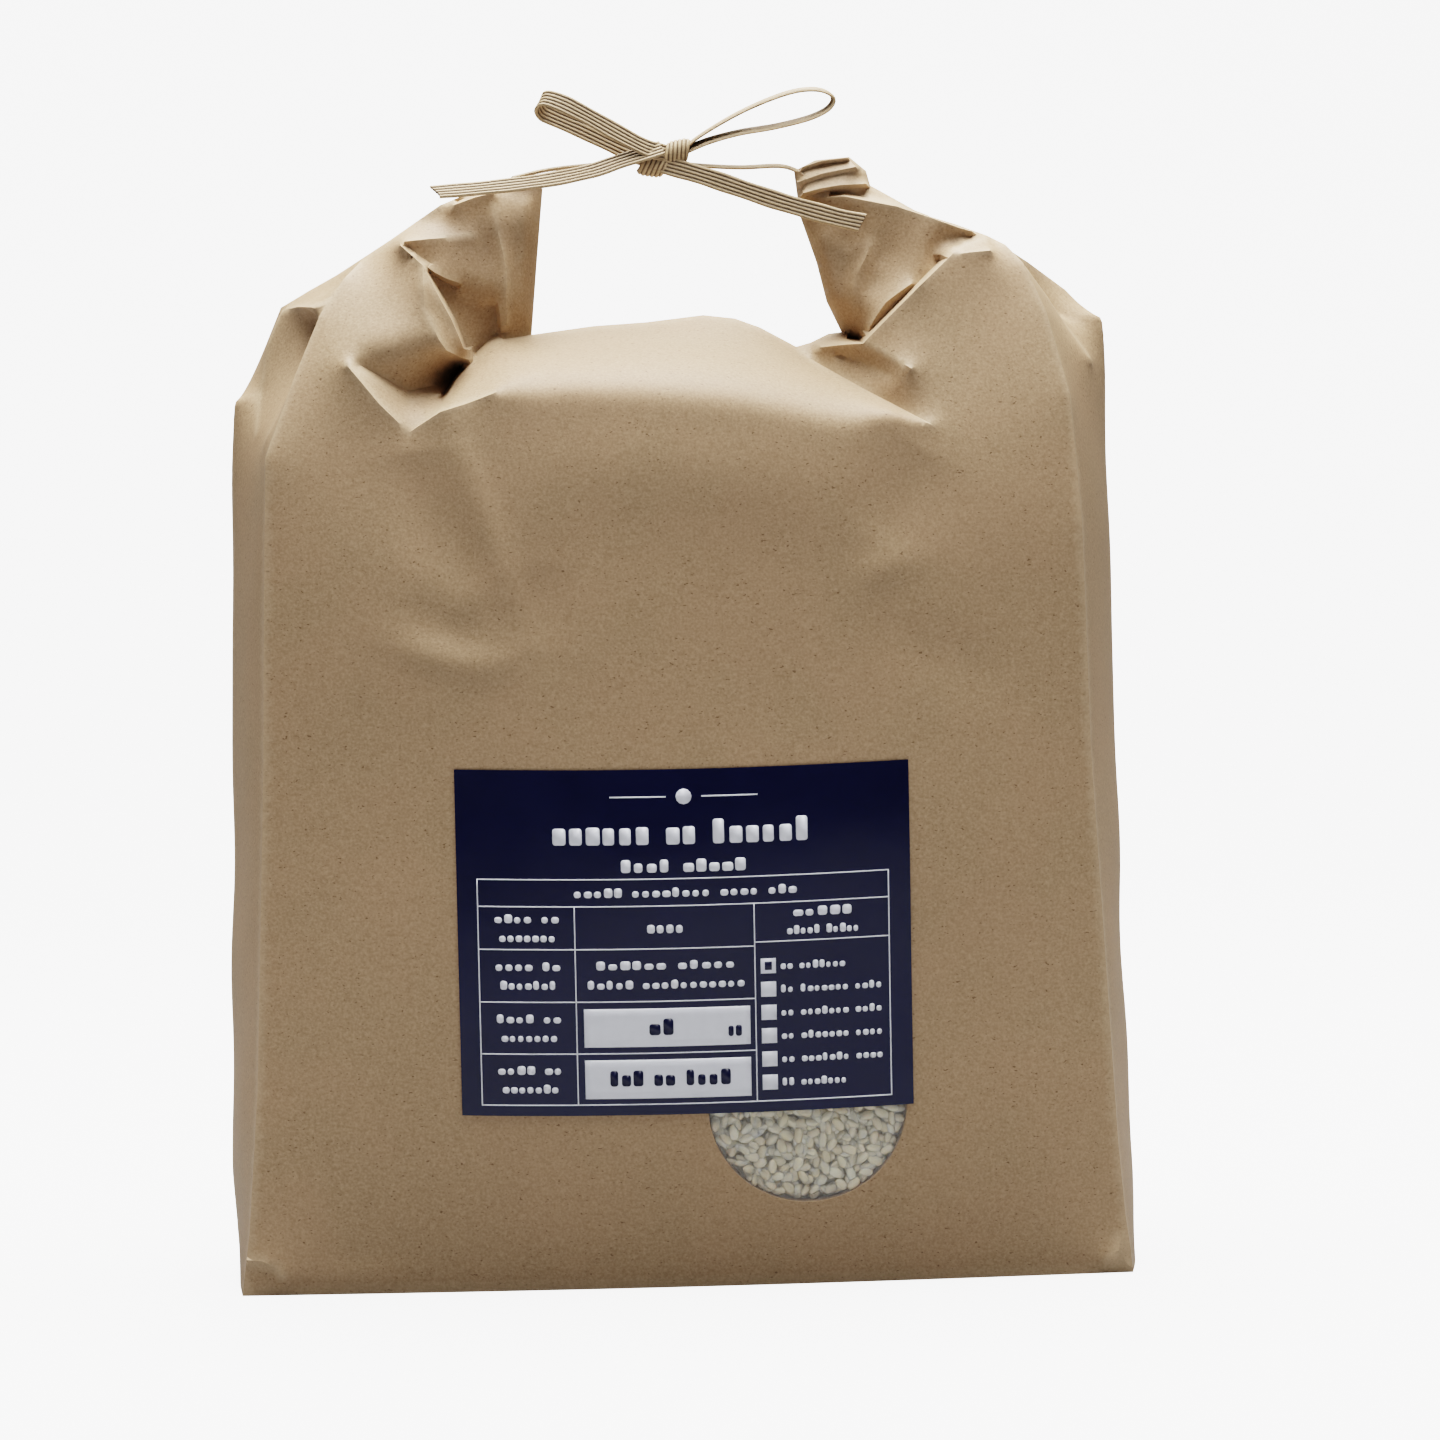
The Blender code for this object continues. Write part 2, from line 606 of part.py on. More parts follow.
def make_string():
    """The tied paper string: the run between the ears, the bow and its two tails."""
    runs = {
        "left_run": (((2, 1, 385), (-12, 2, 382.5), (-28, 3, 380), (-40.8, 3, 379.2)), (0, 1, 0)),
        "right_run": (((2, 1, 385), (10, 1, 384), (27.6, 1, 383.3), (38, 1, 383.2), (44.4, 1, 382)), (0, 1, 0)),
        "left_tail": (
            ((2, -2, 389.5), (-13.3, -4, 386.3), (-27.6, -6, 381.6), (-43.9, -9.5, 378.2),
             (-64, -12, 376.6), (-79, -13, 376.2)),
            (0.1, 0, 1),
        ),
        "right_tail": (((-2, -3, 385), (16, -5, 378.6), (36.5, -8, 371.3), (67.1, -15, 361.8)), (0.3, 0, 1)),
        "left_loop": (
            ((1, 3, 388), (-4, 3.5, 391.5), (-20, 5, 400), (-36, 4, 407.5), (-42.5, 1, 407),
             (-41, -1.5, 402), (-30, -3, 396.5), (-14.3, -2, 389), (-1, -1, 385.5)),
            (0.35, -0.25, 1),
        ),
        "right_loop": (
            ((3, 0, 388), (10.5, 0, 391.3), (38.1, 0, 403.5), (54.5, 0, 409.5), (59.5, 0, 407),
             (57.5, 0, 402.8), (47, 0, 398.6), (28, 0, 393.8), (11, 0, 388.8), (3, 0, 385.5)),
            (0, 1, 0),
        ),
    }
    parts = [band(name, keys, wide) for name, (keys, wide) in runs.items()]
    parts.append(wrap("lower_wrap", (-4.5, 0, 384.3), (1, 0, -0.35), 9, KNOT_RADIUS * 0.9))
    knot = wrap("string", (3.5, 0, 388.0), (1, 0, 0.35), 10, KNOT_RADIUS)
    knot.data.materials.append(material(STRING))
    join(knot, parts)


def main():
    clear_scene()
    front = make_bag()
    make_label(front)
    disc("window_film", front, DISC_RADIUS, FILM_FRONT, FILM_BACK, FILM)
    make_rice(front)
    make_string()


main()
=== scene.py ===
"""Looks of a shut kraft paper rice bag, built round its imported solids.

Sizes in the code are millimetres in the frame of the solids, and become metres when a mesh is made.
"""

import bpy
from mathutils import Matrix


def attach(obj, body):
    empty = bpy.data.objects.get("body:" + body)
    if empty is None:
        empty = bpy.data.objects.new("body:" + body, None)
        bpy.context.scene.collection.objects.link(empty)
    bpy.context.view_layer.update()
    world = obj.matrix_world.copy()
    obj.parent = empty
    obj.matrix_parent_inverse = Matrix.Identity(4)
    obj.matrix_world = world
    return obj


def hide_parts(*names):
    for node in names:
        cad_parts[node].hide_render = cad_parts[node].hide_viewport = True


bl_info = {
    "name": "Tied Paper Rice Bag",
    "version": (1, 0, 0),
    "blender": (4, 5, 0),
    "location": "View3D > Sidebar > Rice Bag",
    "description": "Builds a kraft paper rice bag with its window, label, rice and tied paper string",
    "category": "Object",
}

import math
import random

import bmesh
import bpy
import numpy as np
from bpy.props import FloatProperty, FloatVectorProperty, IntProperty, PointerProperty
from bpy.types import Operator, Panel, PropertyGroup
from mathutils import Matrix, Vector
from mathutils.bvhtree import BVHTree
from mathutils.geometry import delaunay_2d_cdt
from mathutils.kdtree import KDTree

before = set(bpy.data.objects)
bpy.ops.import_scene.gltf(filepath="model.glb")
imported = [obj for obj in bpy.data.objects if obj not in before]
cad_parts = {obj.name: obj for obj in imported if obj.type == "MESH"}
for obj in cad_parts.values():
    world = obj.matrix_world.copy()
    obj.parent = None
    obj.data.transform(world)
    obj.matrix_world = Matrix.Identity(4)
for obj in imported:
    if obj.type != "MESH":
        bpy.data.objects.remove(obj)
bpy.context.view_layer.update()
MM = 0.001
BODY = "root"

# Main sizes of the bag; a push is how hard a panel swells, from the rice behind it
HALF_BASE = 153.0
HALF_DEPTH = 41.0
BASE_BOW = 5.0
SIDE_SWELL = 158.7
LEFT_GUSSET_TOP = 305.5
RIGHT_GUSSET_TOP = 329.0
SHOULDER_FROM = 282.0
FRONT_PUSH = 0.0019
BACK_PUSH = 0.0019
SIDE_PUSH = 0.004
ROLL_THICKNESS = 7.0
ROLL_EDGE = 2.0
ROLL_ROUNDING = 4.0
SOFTENING = 50
# Reach of the crease mask, along which the paper is painted paler, partly from rubbing and partly as a
# painted highlight
CREASE_WEAR_AND_HIGHLIGHT_REACH = 1.2
LEFT_BASE_BOW = 3.3
WALL_SWELL, WALL_WAVE = 0.45, 110.0
FINE_SWELL, FINE_WAVE = 0.05, 34.0
GUSSET_SWELL, GUSSET_WAVE = 0.4, 60.0
CALM_RIM, CALM_GUSSET_RIM = 25, 18

# How a panel's mesh is made and stretched
ROW_PITCH = 0.87
CLEAR_OF_LINES = 0.55
WEAKEST_PULL, STRONGEST_PULL = 0.03, 4.0
STRETCH_ROUNDS = 4000
STRETCHED = 1e-9
RELAX_SHARE = 0.6
SOFT_REACH, SOFT_SPREAD, SOFT_CALM = 4, 10, 12
CRISP_FADE, RIM_FADE = 3, 4
SMALLEST, FARTHEST = 1e-9, 1e9
WELD_DIGITS = 3

# Window, film and rice
WINDOW_X = 41.3
WINDOW_Z = 63.0
WINDOW_RADIUS = 34.0
WINDOW_WALL = 0.4
WINDOW_DEPTH = 9.0
WINDOW_SIDES = 120
DISC_RADIUS = 34.2
FILM_DEPTH = 0.35
FILM_THICKNESS = 0.12
BED_DEPTH = 6.6
BED_THICKNESS = 1.6
BED_RELIEF = 0.35
RICE_GAP = 0.3
RICE_TRIES = 5000
RICE_ABOVE_EDGE = 5.0
RICE_TILT = 0.42
RICE_FLATNESS = 0.8
RICE_SIZES = (0.88, 1.1)
RICE_LOOSENESS = 0.7
CHALK_MIDDLE, CHALK_SPREAD, CHALK_LEAST = 0.62, 0.2, 0.3

# Layers of grains: how far each lies behind the foremost one, and how far apart its grains are
RICE_LAYERS = ((0.0, 3.5), (0.8, 3.1), (1.9, 2.9))

# Label
LABEL_LEFT = -76.2
LABEL_RIGHT = 77.5
LABEL_TOP = 179.8
LABEL_BOTTOM = 61.9
LABEL_SAG = 1.2
LABEL_GAP = 0.35
LABEL_THICKNESS = 0.25
PRINT_RISE = 0.06
DARK_RISE = 0.2
INK_THICKNESS = 0.05
INK_STEP = 2.5
LABEL_COLUMNS, LABEL_ROWS = 76, 60

# Creases between the front and the side panels, from the base up to the ears
LEFT_FRONT_CREASE = (
    (-HALF_BASE, -HALF_DEPTH, 0), (-150, -41, 22), (-146, -41, 70), (-141, -41, 180),
    (-139.5, -41, 231), (-137.5, -40, 286), (-127.5, -30, 313.5), (-119, -22, 334),
    (-110.5, -14, 347), (-103, -4, 355),
)
RIGHT_FRONT_CREASE = (
    (HALF_BASE, -HALF_DEPTH, 0), (152.3, -41, 8), (150.6, -41, 20), (148.4, -41, 46), (146, -41, 90),
    (141, -41, 180), (139, -41, 259), (136, -36, 302), (129, -27, 331), (122.5, -20, 347.5),
    (117, -15, 354), (111.5, -8, 357.5),
)

# Creases between the back and the side panels
LEFT_BACK_CREASE = (
    (-HALF_BASE, HALF_DEPTH, 0), (-150, 41, 22), (-146, 41, 70), (-142, 41, 180),
    (-144, 41, 260), (-150, 34, LEFT_GUSSET_TOP), (-134.5, 15, 338), (-124, 7, 343.5),
    (-114, 1, 348.5), (-103, -4, 355),
)
RIGHT_BACK_CREASE = (
    (HALF_BASE, HALF_DEPTH, 0), (149.5, 41, 14), (146, 41, 67), (142, 41, 180),
    (145, 41, 280), (152.5, 30, RIGHT_GUSSET_TOP), (140.7, 13, 339), (126.5, 2, 348.5),
    (111.5, -8, 357.5),
)

# The top fold: up the left ear, down its inner edge, over the pillow and up the right ear
TOP_FOLD = (
    (-103, -4, 355), (-95, -4, 360), (-77.5, -3, 371.7), (-67, 0, 376), (-55, 1, 380),
    (-42, 1, 377), (-44.5, 1, 352.5), (-47, 2, 326.6), (-25.5, 6, 329.3), (-7, 7, 330.3),
    (13, 7, 332.4), (24, 6, 331), (32.5, 3, 327.7), (44.8, -3, 320.6), (50, 1, 322),
    (56.5, 4, 325), (61, 3, 325.5), (55.7, -2, 336), (52.4, -3, 349.5), (47, -1, 366),
    (45.3, 0, 381.4), (52.7, 0, 385), (64.5, 0, 386), (70.4, 0, 381), (71.7, 0, 376),
    (89.4, 2, 366), (101.4, 0, 362), (111.5, -8, 357.5),
)
ROLL_FROM, ROLL_TO = 5, 22

# The roll's lower edge on the back, from one ear's end to the other's
ROLL_HEM = (
    (-80, 0, 368.5), (-85, 0, 345), (-80, 0, 322), (-62, 0, 306), (-32, 0, 300), (0, 0, 300),
    (32, 0, 298.5), (64, 0, 303), (84, 0, 319), (88, 0, 343), (80, 0, 369),
)

# Folds in the front panel, each with how softly it is rounded, from 0 to 1.
# Where a fold hides what lies behind it, the line of that hidden paper follows it.
LEFT_TIP = (-88.9, -42, 293.6)
RIGHT_TIP = (88.4, -42, 292.8)
PILLOW_CORNER = (-68.6, -43.5, 303.1)
PEAK = (-90.9, -20, 357.4)
SHOULDER_POINT = (-83.4, -24, 350.4)
PLEAT_END = (-109.3, -38.5, 316.7)
FLAP_CORNER = (-89, -31, 304.1)
KNUCKLE = (66.4, -26, 320.8)
FACET_CORNER = (82, -37, 311.9)
UPPER_FOLD_END = (-72.1, -12.5, 344.8)
BEND_START = (-60, -45, 306.2)
BEND_END = (-43, -46.3, 313.2)
FRONT_FOLDS = {
    "pillow_corner": (0.0, (LEFT_TIP, (-78.1, -43.5, 300.3), PILLOW_CORNER, BEND_START)),
    "pillow_bend_start": (0.15, (BEND_START, (-52, -46, 310.2), BEND_END)),
    "pillow_bend": (1.0, (
        BEND_END, (-20, -47.3, 313.2), (-7, -47.8, 312.3), (26.4, -48, 308.2), (56, -46.5, 301.5),
    )),
    "pillow_bend_end": (0.15, ((56, -46.5, 301.5), (74, -44.5, 297), RIGHT_TIP)),
    "pillow_dimple": (0.3, (BEND_END, (-38, -46.8, 308))),
    "pillow_left": (0.0, (
        LEFT_TIP, (-81.7, -38, 298.9), (-78.7, -35, 301.4), (-74.7, -27, 307.8), (-73, -22, 311.2),
        (-67.2, -14, 317.7), (-62.4, -11, 322.5), (-57.9, -9.5, 324.9), (-47, 2, 326.6),
    )),
    "left_pocket": (0.0, ((-78.2, -26, 304.6), (-76.4, -8, 308.5), (-74.6, 2, 312), (-71.6, 3, 315.6))),
    "left_recess_foot": (0.0, ((-66.2, -6, 320.9), (-61.8, -4, 325), (-58.6, -3.5, 326.4))),
    "left_pleat": (0.0, (PLEAT_END, (-104.9, -40, 311.3), (-98.7, -41.5, 303.5), LEFT_TIP)),
    "left_pleat_top": (0.0, (PLEAT_END, (-101.8, -35.5, 313), (-97.5, -34, 310.1), FLAP_CORNER)),
    "left_flap": (0.0, (FLAP_CORNER, (-82.6, -27, 305.9), (-78.6, -25, 306.6))),
    "left_pleat_valley": (0.0, (
        (-105.8, -34.5, 317.1), (-101, -32.5, 314.6), (-96.8, -30.5, 312), (-89.3, -27, 307.6),
        (-81.5, -20, 309.4),
    )),
    "left_shoulder_lip": (0.7, (
        (-103.5, -37, 321), (-92.7, -37, 322.4), (-84.7, -35.5, 321.6), (-79.3, -32, 320),
    )),
    "left_shoulder_rim": (0.0, (
        PEAK, SHOULDER_POINT, (-83.2, -28, 342.6), (-82.9, -29.5, 335.2), (-80.4, -30.5, 330.1),
        (-78.3, -31.5, 324.9), (-75.9, -30, 321.3), (-73.6, -27.5, 320.1), (-70.7, -22, 318.8),
        (-67.2, -14, 317.7),
    )),
    "left_inner_valley": (0.3, (
        (-82.1, -26.5, 343.6), (-80, -26.8, 335.9), (-77.6, -27, 329.3), (-75.2, -26.5, 324.4),
    )),
    "left_inner_fold": (0.0, (
        SHOULDER_POINT, (-80.9, -25, 345.2), (-77.3, -26, 338.1), (-74, -26, 331.8),
        (-71.5, -25.5, 325.6), (-70.1, -24, 321.8),
    )),
    "left_inner_back": (0.0, (
        (-81.6, -13, 348.4), (-76.5, -11, 339.3), (-73.1, -9.5, 332.8), (-70.6, -9, 326.2),
        (-69.5, -9, 322.4),
    )),
    "left_upper_fold": (0.0, (
        (-90.2, -19, 357.1), (-87.1, -18.5, 353.8), (-83.1, -18, 350.8), (-79.5, -16, 348.1),
        (-75.8, -14, 346.1), UPPER_FOLD_END,
    )),
    "left_upper_roll": (0.5, (UPPER_FOLD_END, (-65.7, -11, 341.7), (-58.4, -10, 338.2))),
    "left_recess_edge": (0.0, ((-58.4, -10, 338.2), (-57.6, -10, 333.7), (-57.2, -8.5, 329.2))),
    "left_upper_back": (0.0, ((-88.5, -15.5, 357.5), (-85.2, -15, 354.4), (-81.1, -14, 351.5))),
    "left_recess_top": (0.0, ((-81.4, -12.5, 348.2), (-78.1, -9.5, 345.9), (-73, -7.5, 343.3))),
    "left_recess_deep": (0.3, ((-69.3, -6.5, 340), (-64.6, -5.5, 337.5), (-61.1, -5, 335.7))),
    "left_recess_side": (0.0, ((-59.2, -5, 336.4), (-59, -4, 332.6), (-58.4, -4, 329.2))),
    "left_bright_low": (0.0, (
        (-89.6, -18, 358.8), (-80.9, -14, 359.7), (-73.5, -10, 360.2), (-66.4, -8, 360.8),
    )),
    "left_bright_high": (0.3, (
        (-85.6, -5, 363.9), (-80.9, -4, 366.1), (-73.5, -6, 363.5), (-66.4, -8, 360.8),
    )),
    "left_ear_hollow": (0.5, ((-63.1, -4, 369), (-62.6, -6, 357.6), (-60.7, -8, 348.2))),
    "left_band_ridge": (0.04, (
        (-59.5, -5.5, 371.6), (-58, -8.5, 363.2), (-56.1, -11, 354.9), (-54.9, -13, 346.9),
        (-55.4, -13.5, 338.3), (-55.2, -11, 330.1),
    )),
    "left_band_hollow": (0.2, (
        (-52.7, -3.5, 373.1), (-51.8, -5.5, 364), (-51.7, -6.4, 355), (-52.5, -7, 346.7),
        (-53, -7, 338.4), (-53, -5.5, 330.9),
    )),
    "left_band_lip": (0.2, (
        (-47.5, -4, 372.1), (-48.5, -6.4, 363.1), (-49.6, -8, 353.4), (-50.4, -8.8, 343.1),
        (-50.5, -7, 332.1),
    )),
    "left_top_edge": (0.0, ((-73.5, -6, 371.2), (-66, -6, 373.8), (-59.5, -6, 375.4))),
    "left_top_back": (0.0, ((-71.5, -1, 373), (-66.5, -1, 375))),
    "pillow_right": (0.0, ((44.8, -3, 320.6), (49.4, -10, 316.1), (66.3, -27, 305.5), RIGHT_TIP)),
    "right_facet_valley": (0.0, (
        (59.5, -16, 317.3), (63, -20, 315.5), (69.5, -25.3, 312.5), (74.5, -30.3, 309.5),
    )),
    "right_flap": (0.0, ((52.3, -12, 320), (56.5, -16.5, 320.4), (61.4, -22, 320.7), KNUCKLE)),
    "right_flap_side": (0.3, ((52.3, -12, 320), (53.1, -11, 318.1))),
    "right_facet": (0.0, (KNUCKLE, (73.6, -30.5, 317.4), FACET_CORNER)),
    "right_facet_side": (0.3, (FACET_CORNER, (79.7, -36.9, 309), (76.4, -34, 305.7))),
    "right_hole": (0.0, ((63.4, 3, 323.5), (66.5, 2, 323))),
    "right_ridge": (0.0, (
        KNUCKLE, (73.6, -28, 328), (86.2, -29, 340.2), (97.6, -25, 350.6), (103.5, -25, 351.2),
        (110.8, -24, 351.8),
    )),
    "right_ridge_end": (0.6, ((110.8, -24, 351.8), (115.5, -23, 349), (118, -24, 343))),
    "right_ridge_back": (0.0, (
        (68.1, -17, 323.8), (73, -17.5, 328.7), (77.4, -18, 333), (82.4, -19, 337.8),
        (85.5, -19, 340.9), (91.3, -17, 346.3), (94, -14.5, 348.9),
    )),
    "right_wedge": (0.0, (
        (69.6, -18.6, 327), (72.1, -19.6, 330.9), (75, -20.4, 334.9), (79.9, -21.2, 338.5),
        (83.7, -20.8, 341),
    )),
    "right_bright_edge": (0.0, ((98.6, -24, 351.9), (104, -19, 354.4), (110.8, -13, 356.7))),
    "right_ear_edge": (0.0, (
        (53.4, -7, 371.8), (61.7, -10, 371.9), (79.6, -14, 367.9), (92, -15, 363.5), (101, -15.5, 360.1),
        (105.5, -15, 358.8),
    )),
    "right_ear_back": (0.0, ((58, -4, 373), (63.1, -5, 373.3), (80.2, -9, 369.1), (91, -10, 364.8))),
    "right_soft_ridge": (0.1, (
        (70.2, -13, 354.7), (68.7, -14.5, 350.5), (65.4, -15, 344.8), (63.8, -15, 337.9),
        (64.8, -13, 332),
    )),
    "right_soft_hollow": (0.3, ((74, -10, 353.9), (73.1, -12, 347), (71.5, -13, 339.4))),
    "right_inner_hollow": (0.3, (
        (63.2, -7, 358.3), (62.2, -9, 349.3), (61.2, -9, 339.7), (63.6, -8.5, 330.1),
    )),
    "right_inner_ridge": (0.3, (
        (53.2, -8, 361.2), (55.2, -11, 349.4), (56.7, -12, 339), (60.4, -9, 330.1),
    )),
    "right_shade_ridge": (0.3, (
        (92.2, -16, 360), (90.6, -16.5, 356.5), (89.1, -17, 352.7), (88, -18.5, 346.4),
    )),
    "right_shade_hollow": (0.4, (
        (94.4, -10.5, 351), (99.3, -10.5, 354.2), (104.4, -9.5, 356.4), (107.6, -9.5, 357.8),
    )),
    "roll_ridge_top": (0.1, ((48.1, -6, 382.4), (54.7, -7, 384.4), (63.8, -6, 385.3))),
    "roll_valley_top": (0.1, ((47.2, -4.5, 381), (54.5, -4.5, 383.2), (64.6, -4, 384.3))),
    "roll_ridge_middle": (0.1, ((46.2, -7.6, 377.2), (54.5, -8.2, 379.9), (66.4, -7.4, 382.1))),
    "roll_valley_middle": (0.1, ((47, -6.3, 375.9), (55, -6.6, 378.6), (67.2, -6, 381))),
    "roll_ridge_low": (0.0, (
        (46.1, -8.5, 372.8), (53.3, -9, 374.7), (60.6, -9, 375.8), (69.8, -7.5, 376.2),
    )),
    "roll_valley_low": (0.0, (
        (46.6, -6, 371.6), (53.5, -6.3, 373.4), (60.9, -6.3, 374.5), (69.2, -5.5, 375),
    )),
    "left_base_ridge": (0.0, (
        (-152.2, -42, 12.7), (-145.9, -43.3, 12.2), (-141.4, -44.1, 10.2), (-138.4, -44.7, 6.8),
    )),
    "left_base_valley": (0.0, (
        (-152.3, -41.5, 11.5), (-146, -42.6, 11), (-142, -43.4, 9.2), (-139.3, -44.4, 6.2),
    )),
    "right_base_ridge": (0.0, ((149, -42.4, 13.2), (147.7, -43.6, 7.9), (151.1, -42.4, 2.7))),
    "right_base_valley": (0.0, ((147.9, -41.9, 13), (146.9, -42.9, 8.6), (143.4, -44.1, 5))),
}

# Folds in the other panels; above its corner each gusset folds inwards
BACK_FOLDS = {
    "back_bend": (1.0, ((-92, 42, 288), (-40, 47, 297), (0, 48, 299), (40, 47, 297), (92, 42, 288))),
    "left_ear_back": (1.0, ((-70, 11, 368), (-68, 13, 350), (-70, 17, 325), (-82, 32, 300))),
    "right_ear_back": (1.0, ((66, 10, 374), (76, 12, 350), (80, 16, 325), (88, 32, 300))),
}
LEFT_CORNER = (-151.3, 5, LEFT_GUSSET_TOP)
RIGHT_CORNER = (153, 5, RIGHT_GUSSET_TOP)
LEFT_FOLDS = {
    "left_centre": (0.15, (
        (-156.4, 0, 4), (-157.7, 0, 15), (-SIDE_SWELL, 0, 36), (-155.6, 0, 149), (-153, 2, 250), LEFT_CORNER,
    )),
    "left_back_diagonal": (0.15, (LEFT_CORNER, (-150.6, 26, 305))),
    "left_tuck_edge": (0.0, ((-135.2, 8, 333.6), (-139.2, 8, 325), (-141.8, 3, 309), (-142.4, -12, 294))),
    "left_tuck": (0.2, ((-114.5, -10, 333), (-120, -14, 322), (-129.5, -20, 308), (-138.4, -28, 292))),
    "left_ledge": (0.0, ((-133.6, 8, 336.8), (-127.6, -4, 337.6), (-122.2, -18, 337))),
    "left_valley": (0.2, ((-113, -9, 344), (-108, -6, 350))),
}
RIGHT_FOLDS = {
    "right_centre": (0.15, (
        (158, 0, 3), (158.4, 0, 12), (SIDE_SWELL, 0, 28), (155.5, 0, 124), (154.1, 1, 230), RIGHT_CORNER,
    )),
    "right_back_diagonal": (0.15, (RIGHT_CORNER, (152.6, 24, 328))),
    "right_second_crease": (0.0, ((124.6, -10, 346.4), (132, -8, 336), (138, -8, 326), (147, -9, 313.4))),
    "right_tuck": (0.2, ((121.5, -4, 346), (127, -2, 339), (133, 0, 330))),
}

# Soft dents pressed into the front, or raised where the depth is negative:
# the line as (x, z) places, its depth and its half width
FRONT_DENTS = (
    (((-86.7, 289.4), (-84.1, 272.5), (-76.8, 253.8), (-65.4, 237.3)), 3.0, 13.0),
    (((-73.2, 294.1), (-64.1, 263.7), (-57.5, 243.3), (-51.7, 231)), -1.6, 5.0),
    (((-45.6, 249.8), (-43.9, 232.8), (-45.2, 219.3)), 1.4, 9.0),
    (((-93.1, 237.3), (-76.5, 227.4), (-62.4, 223.1)), 1.8, 8.0),
    (((-98.5, 223.2), (-80.1, 217.7), (-63.3, 215), (-50.9, 221.1)), -1.5, 5.5),
    (((69.6, 252.4), (78.3, 267.5), (88.8, 283.5)), 2.0, 14.0),
    (((63.2, 237.3), (69.5, 243.9), (80.4, 247.8)), -1.3, 6.0),
    (((65.8, 227.1), (92.7, 212.9), (113.1, 205.6)), 1.0, 10.0),
    (((-64, 276), (-20, 281), (25, 277), (72, 268)), -2.2, 19.0),
    (((-133, 3.9), (-122.7, 6.4), (-92.1, 7)), -0.8, 3.6),
)

# The camera that stands for the photograph's
PHOTO_SIZE = 1440
MM_PER_PIXEL = 0.35
CAMERA_DISTANCE = 1500.0
CAMERA_AZIMUTH = -2.0
CAMERA_ELEVATION = 4.0
CAMERA_ROLL = 1.15
CAMERA_AIM = (15.8, 0.0, 191.0)
SENSOR = 36.0
CLIP_FROM, CLIP_TO = 0.05, 50.0

# The studio: how bright the backdrop and the world look, and how much the world lights
BACKDROP_GLOW = 1.7
WORLD_SEEN = 2.1
WORLD_LIGHT = 0.042
EXPOSURE = 0.6
LIGHTS = {
    # place and aim in metres, size of the square in metres, watts
    "overhead_softbox": ((0.04, 0.05, 1.75), (0.0, 0.0, 0.2), 1.3, 52.0),
    "front_softbox": ((-0.5, -1.9, 1.3), (0.0, 0.0, 0.25), 1.2, 0.95),
    "backdrop_light": ((0.0, 0.9, 2.4), (0.0, 2.2, 0.6), 1.2, 16.0),
}
BACKDROP_HALF_WIDTH = 6000.0
BACKDROP_FRONT, BACKDROP_BEND, BACKDROP_TOP = -6000.0, 1200.0, 5000.0
BACKDROP_RADIUS = 1000.0
BACKDROP_DROP = 0.2

# Colours of the finishes that the settings don't hold
FLECK = (0.14, 0.085, 0.045)
WARM_CLOUD = (0.44, 0.262, 0.165)
# Paler paper along creases: partly rubbing, partly a painted highlight
CREASE_WEAR_AND_HIGHLIGHT = (0.62, 0.48, 0.33)
STRING_FLECK = (0.16, 0.10, 0.055)
# Painted shade in the grooves between the string's cords
STRING_GROOVE_SHADE = (0.075, 0.045, 0.024)
FILM_HAZE = (0.8, 0.81, 0.8)
BACKDROP_GREY = (0.42, 0.42, 0.42)
GLASSY_RICE = (0.76, 0.7, 0.6)
CHALKY_RICE = (1.06, 1.07, 1.1)


class RiceBagPaper(PropertyGroup):
    """The paper of the bag."""

    fold_step: FloatProperty(
        name="Fold Step", description="Mesh size in the folded top", unit="LENGTH",
        default=1.7 * MM, min=1 * MM, max=8 * MM,
    )
    body_step: FloatProperty(
        name="Body Step", description="Mesh size in the plain body", unit="LENGTH",
        default=3.4 * MM, min=2 * MM, max=20 * MM,
    )
    light_colour: FloatVectorProperty(
        name="Light Colour", description="Colour of the pale fibres", subtype="COLOR", size=3,
        default=(0.455, 0.325, 0.208), min=0.0, max=1.0,
    )
    dark_colour: FloatVectorProperty(
        name="Dark Colour", description="Colour of the darker fibres", subtype="COLOR", size=3,
        default=(0.32, 0.219, 0.13), min=0.0, max=1.0,
    )


class RiceBagRice(PropertyGroup):
    """The rice behind the window."""

    grain_length: FloatProperty(
        name="Grain Length", description="Length of a grain", unit="LENGTH",
        default=5.2 * MM, min=3 * MM, max=9 * MM,
    )
    grain_width: FloatProperty(
        name="Grain Width", description="Width of a grain", unit="LENGTH",
        default=3.4 * MM, min=1.5 * MM, max=4 * MM,
    )
    colour: FloatVectorProperty(
        name="Colour", description="Colour of the polished grains", subtype="COLOR", size=3,
        default=(0.85, 0.765, 0.585), min=0.0, max=1.0,
    )
    seed: IntProperty(name="Seed", description="Seed of the grains' places", default=11, min=0)


class RiceBagLabel(PropertyGroup):
    """The printed label."""

    ground: FloatVectorProperty(
        name="Ground", description="Colour of the label's ground", subtype="COLOR", size=3,
        default=(0.008, 0.010, 0.045), min=0.0, max=1.0,
    )
    print_colour: FloatVectorProperty(
        name="Print", description="Colour of the rules and blocks", subtype="COLOR", size=3,
        default=(0.80, 0.82, 0.89), min=0.0, max=1.0,
    )


class RiceBagString(PropertyGroup):
    """The tied paper string."""

    width: FloatProperty(
        name="Width", description="Width of the band", unit="LENGTH",
        default=6.5 * MM, min=2 * MM, max=10 * MM,
    )
    thickness: FloatProperty(
        name="Thickness", description="Thickness of the band", unit="LENGTH",
        default=1.15 * MM, min=0.5 * MM, max=3 * MM,
    )
    ribs: IntProperty(name="Ribs", description="Cords side by side in the band", default=5, min=3, max=12)
    colour: FloatVectorProperty(
        name="Colour", description="Colour of the string", subtype="COLOR", size=3,
        default=(0.64, 0.47, 0.285), min=0.0, max=1.0,
    )


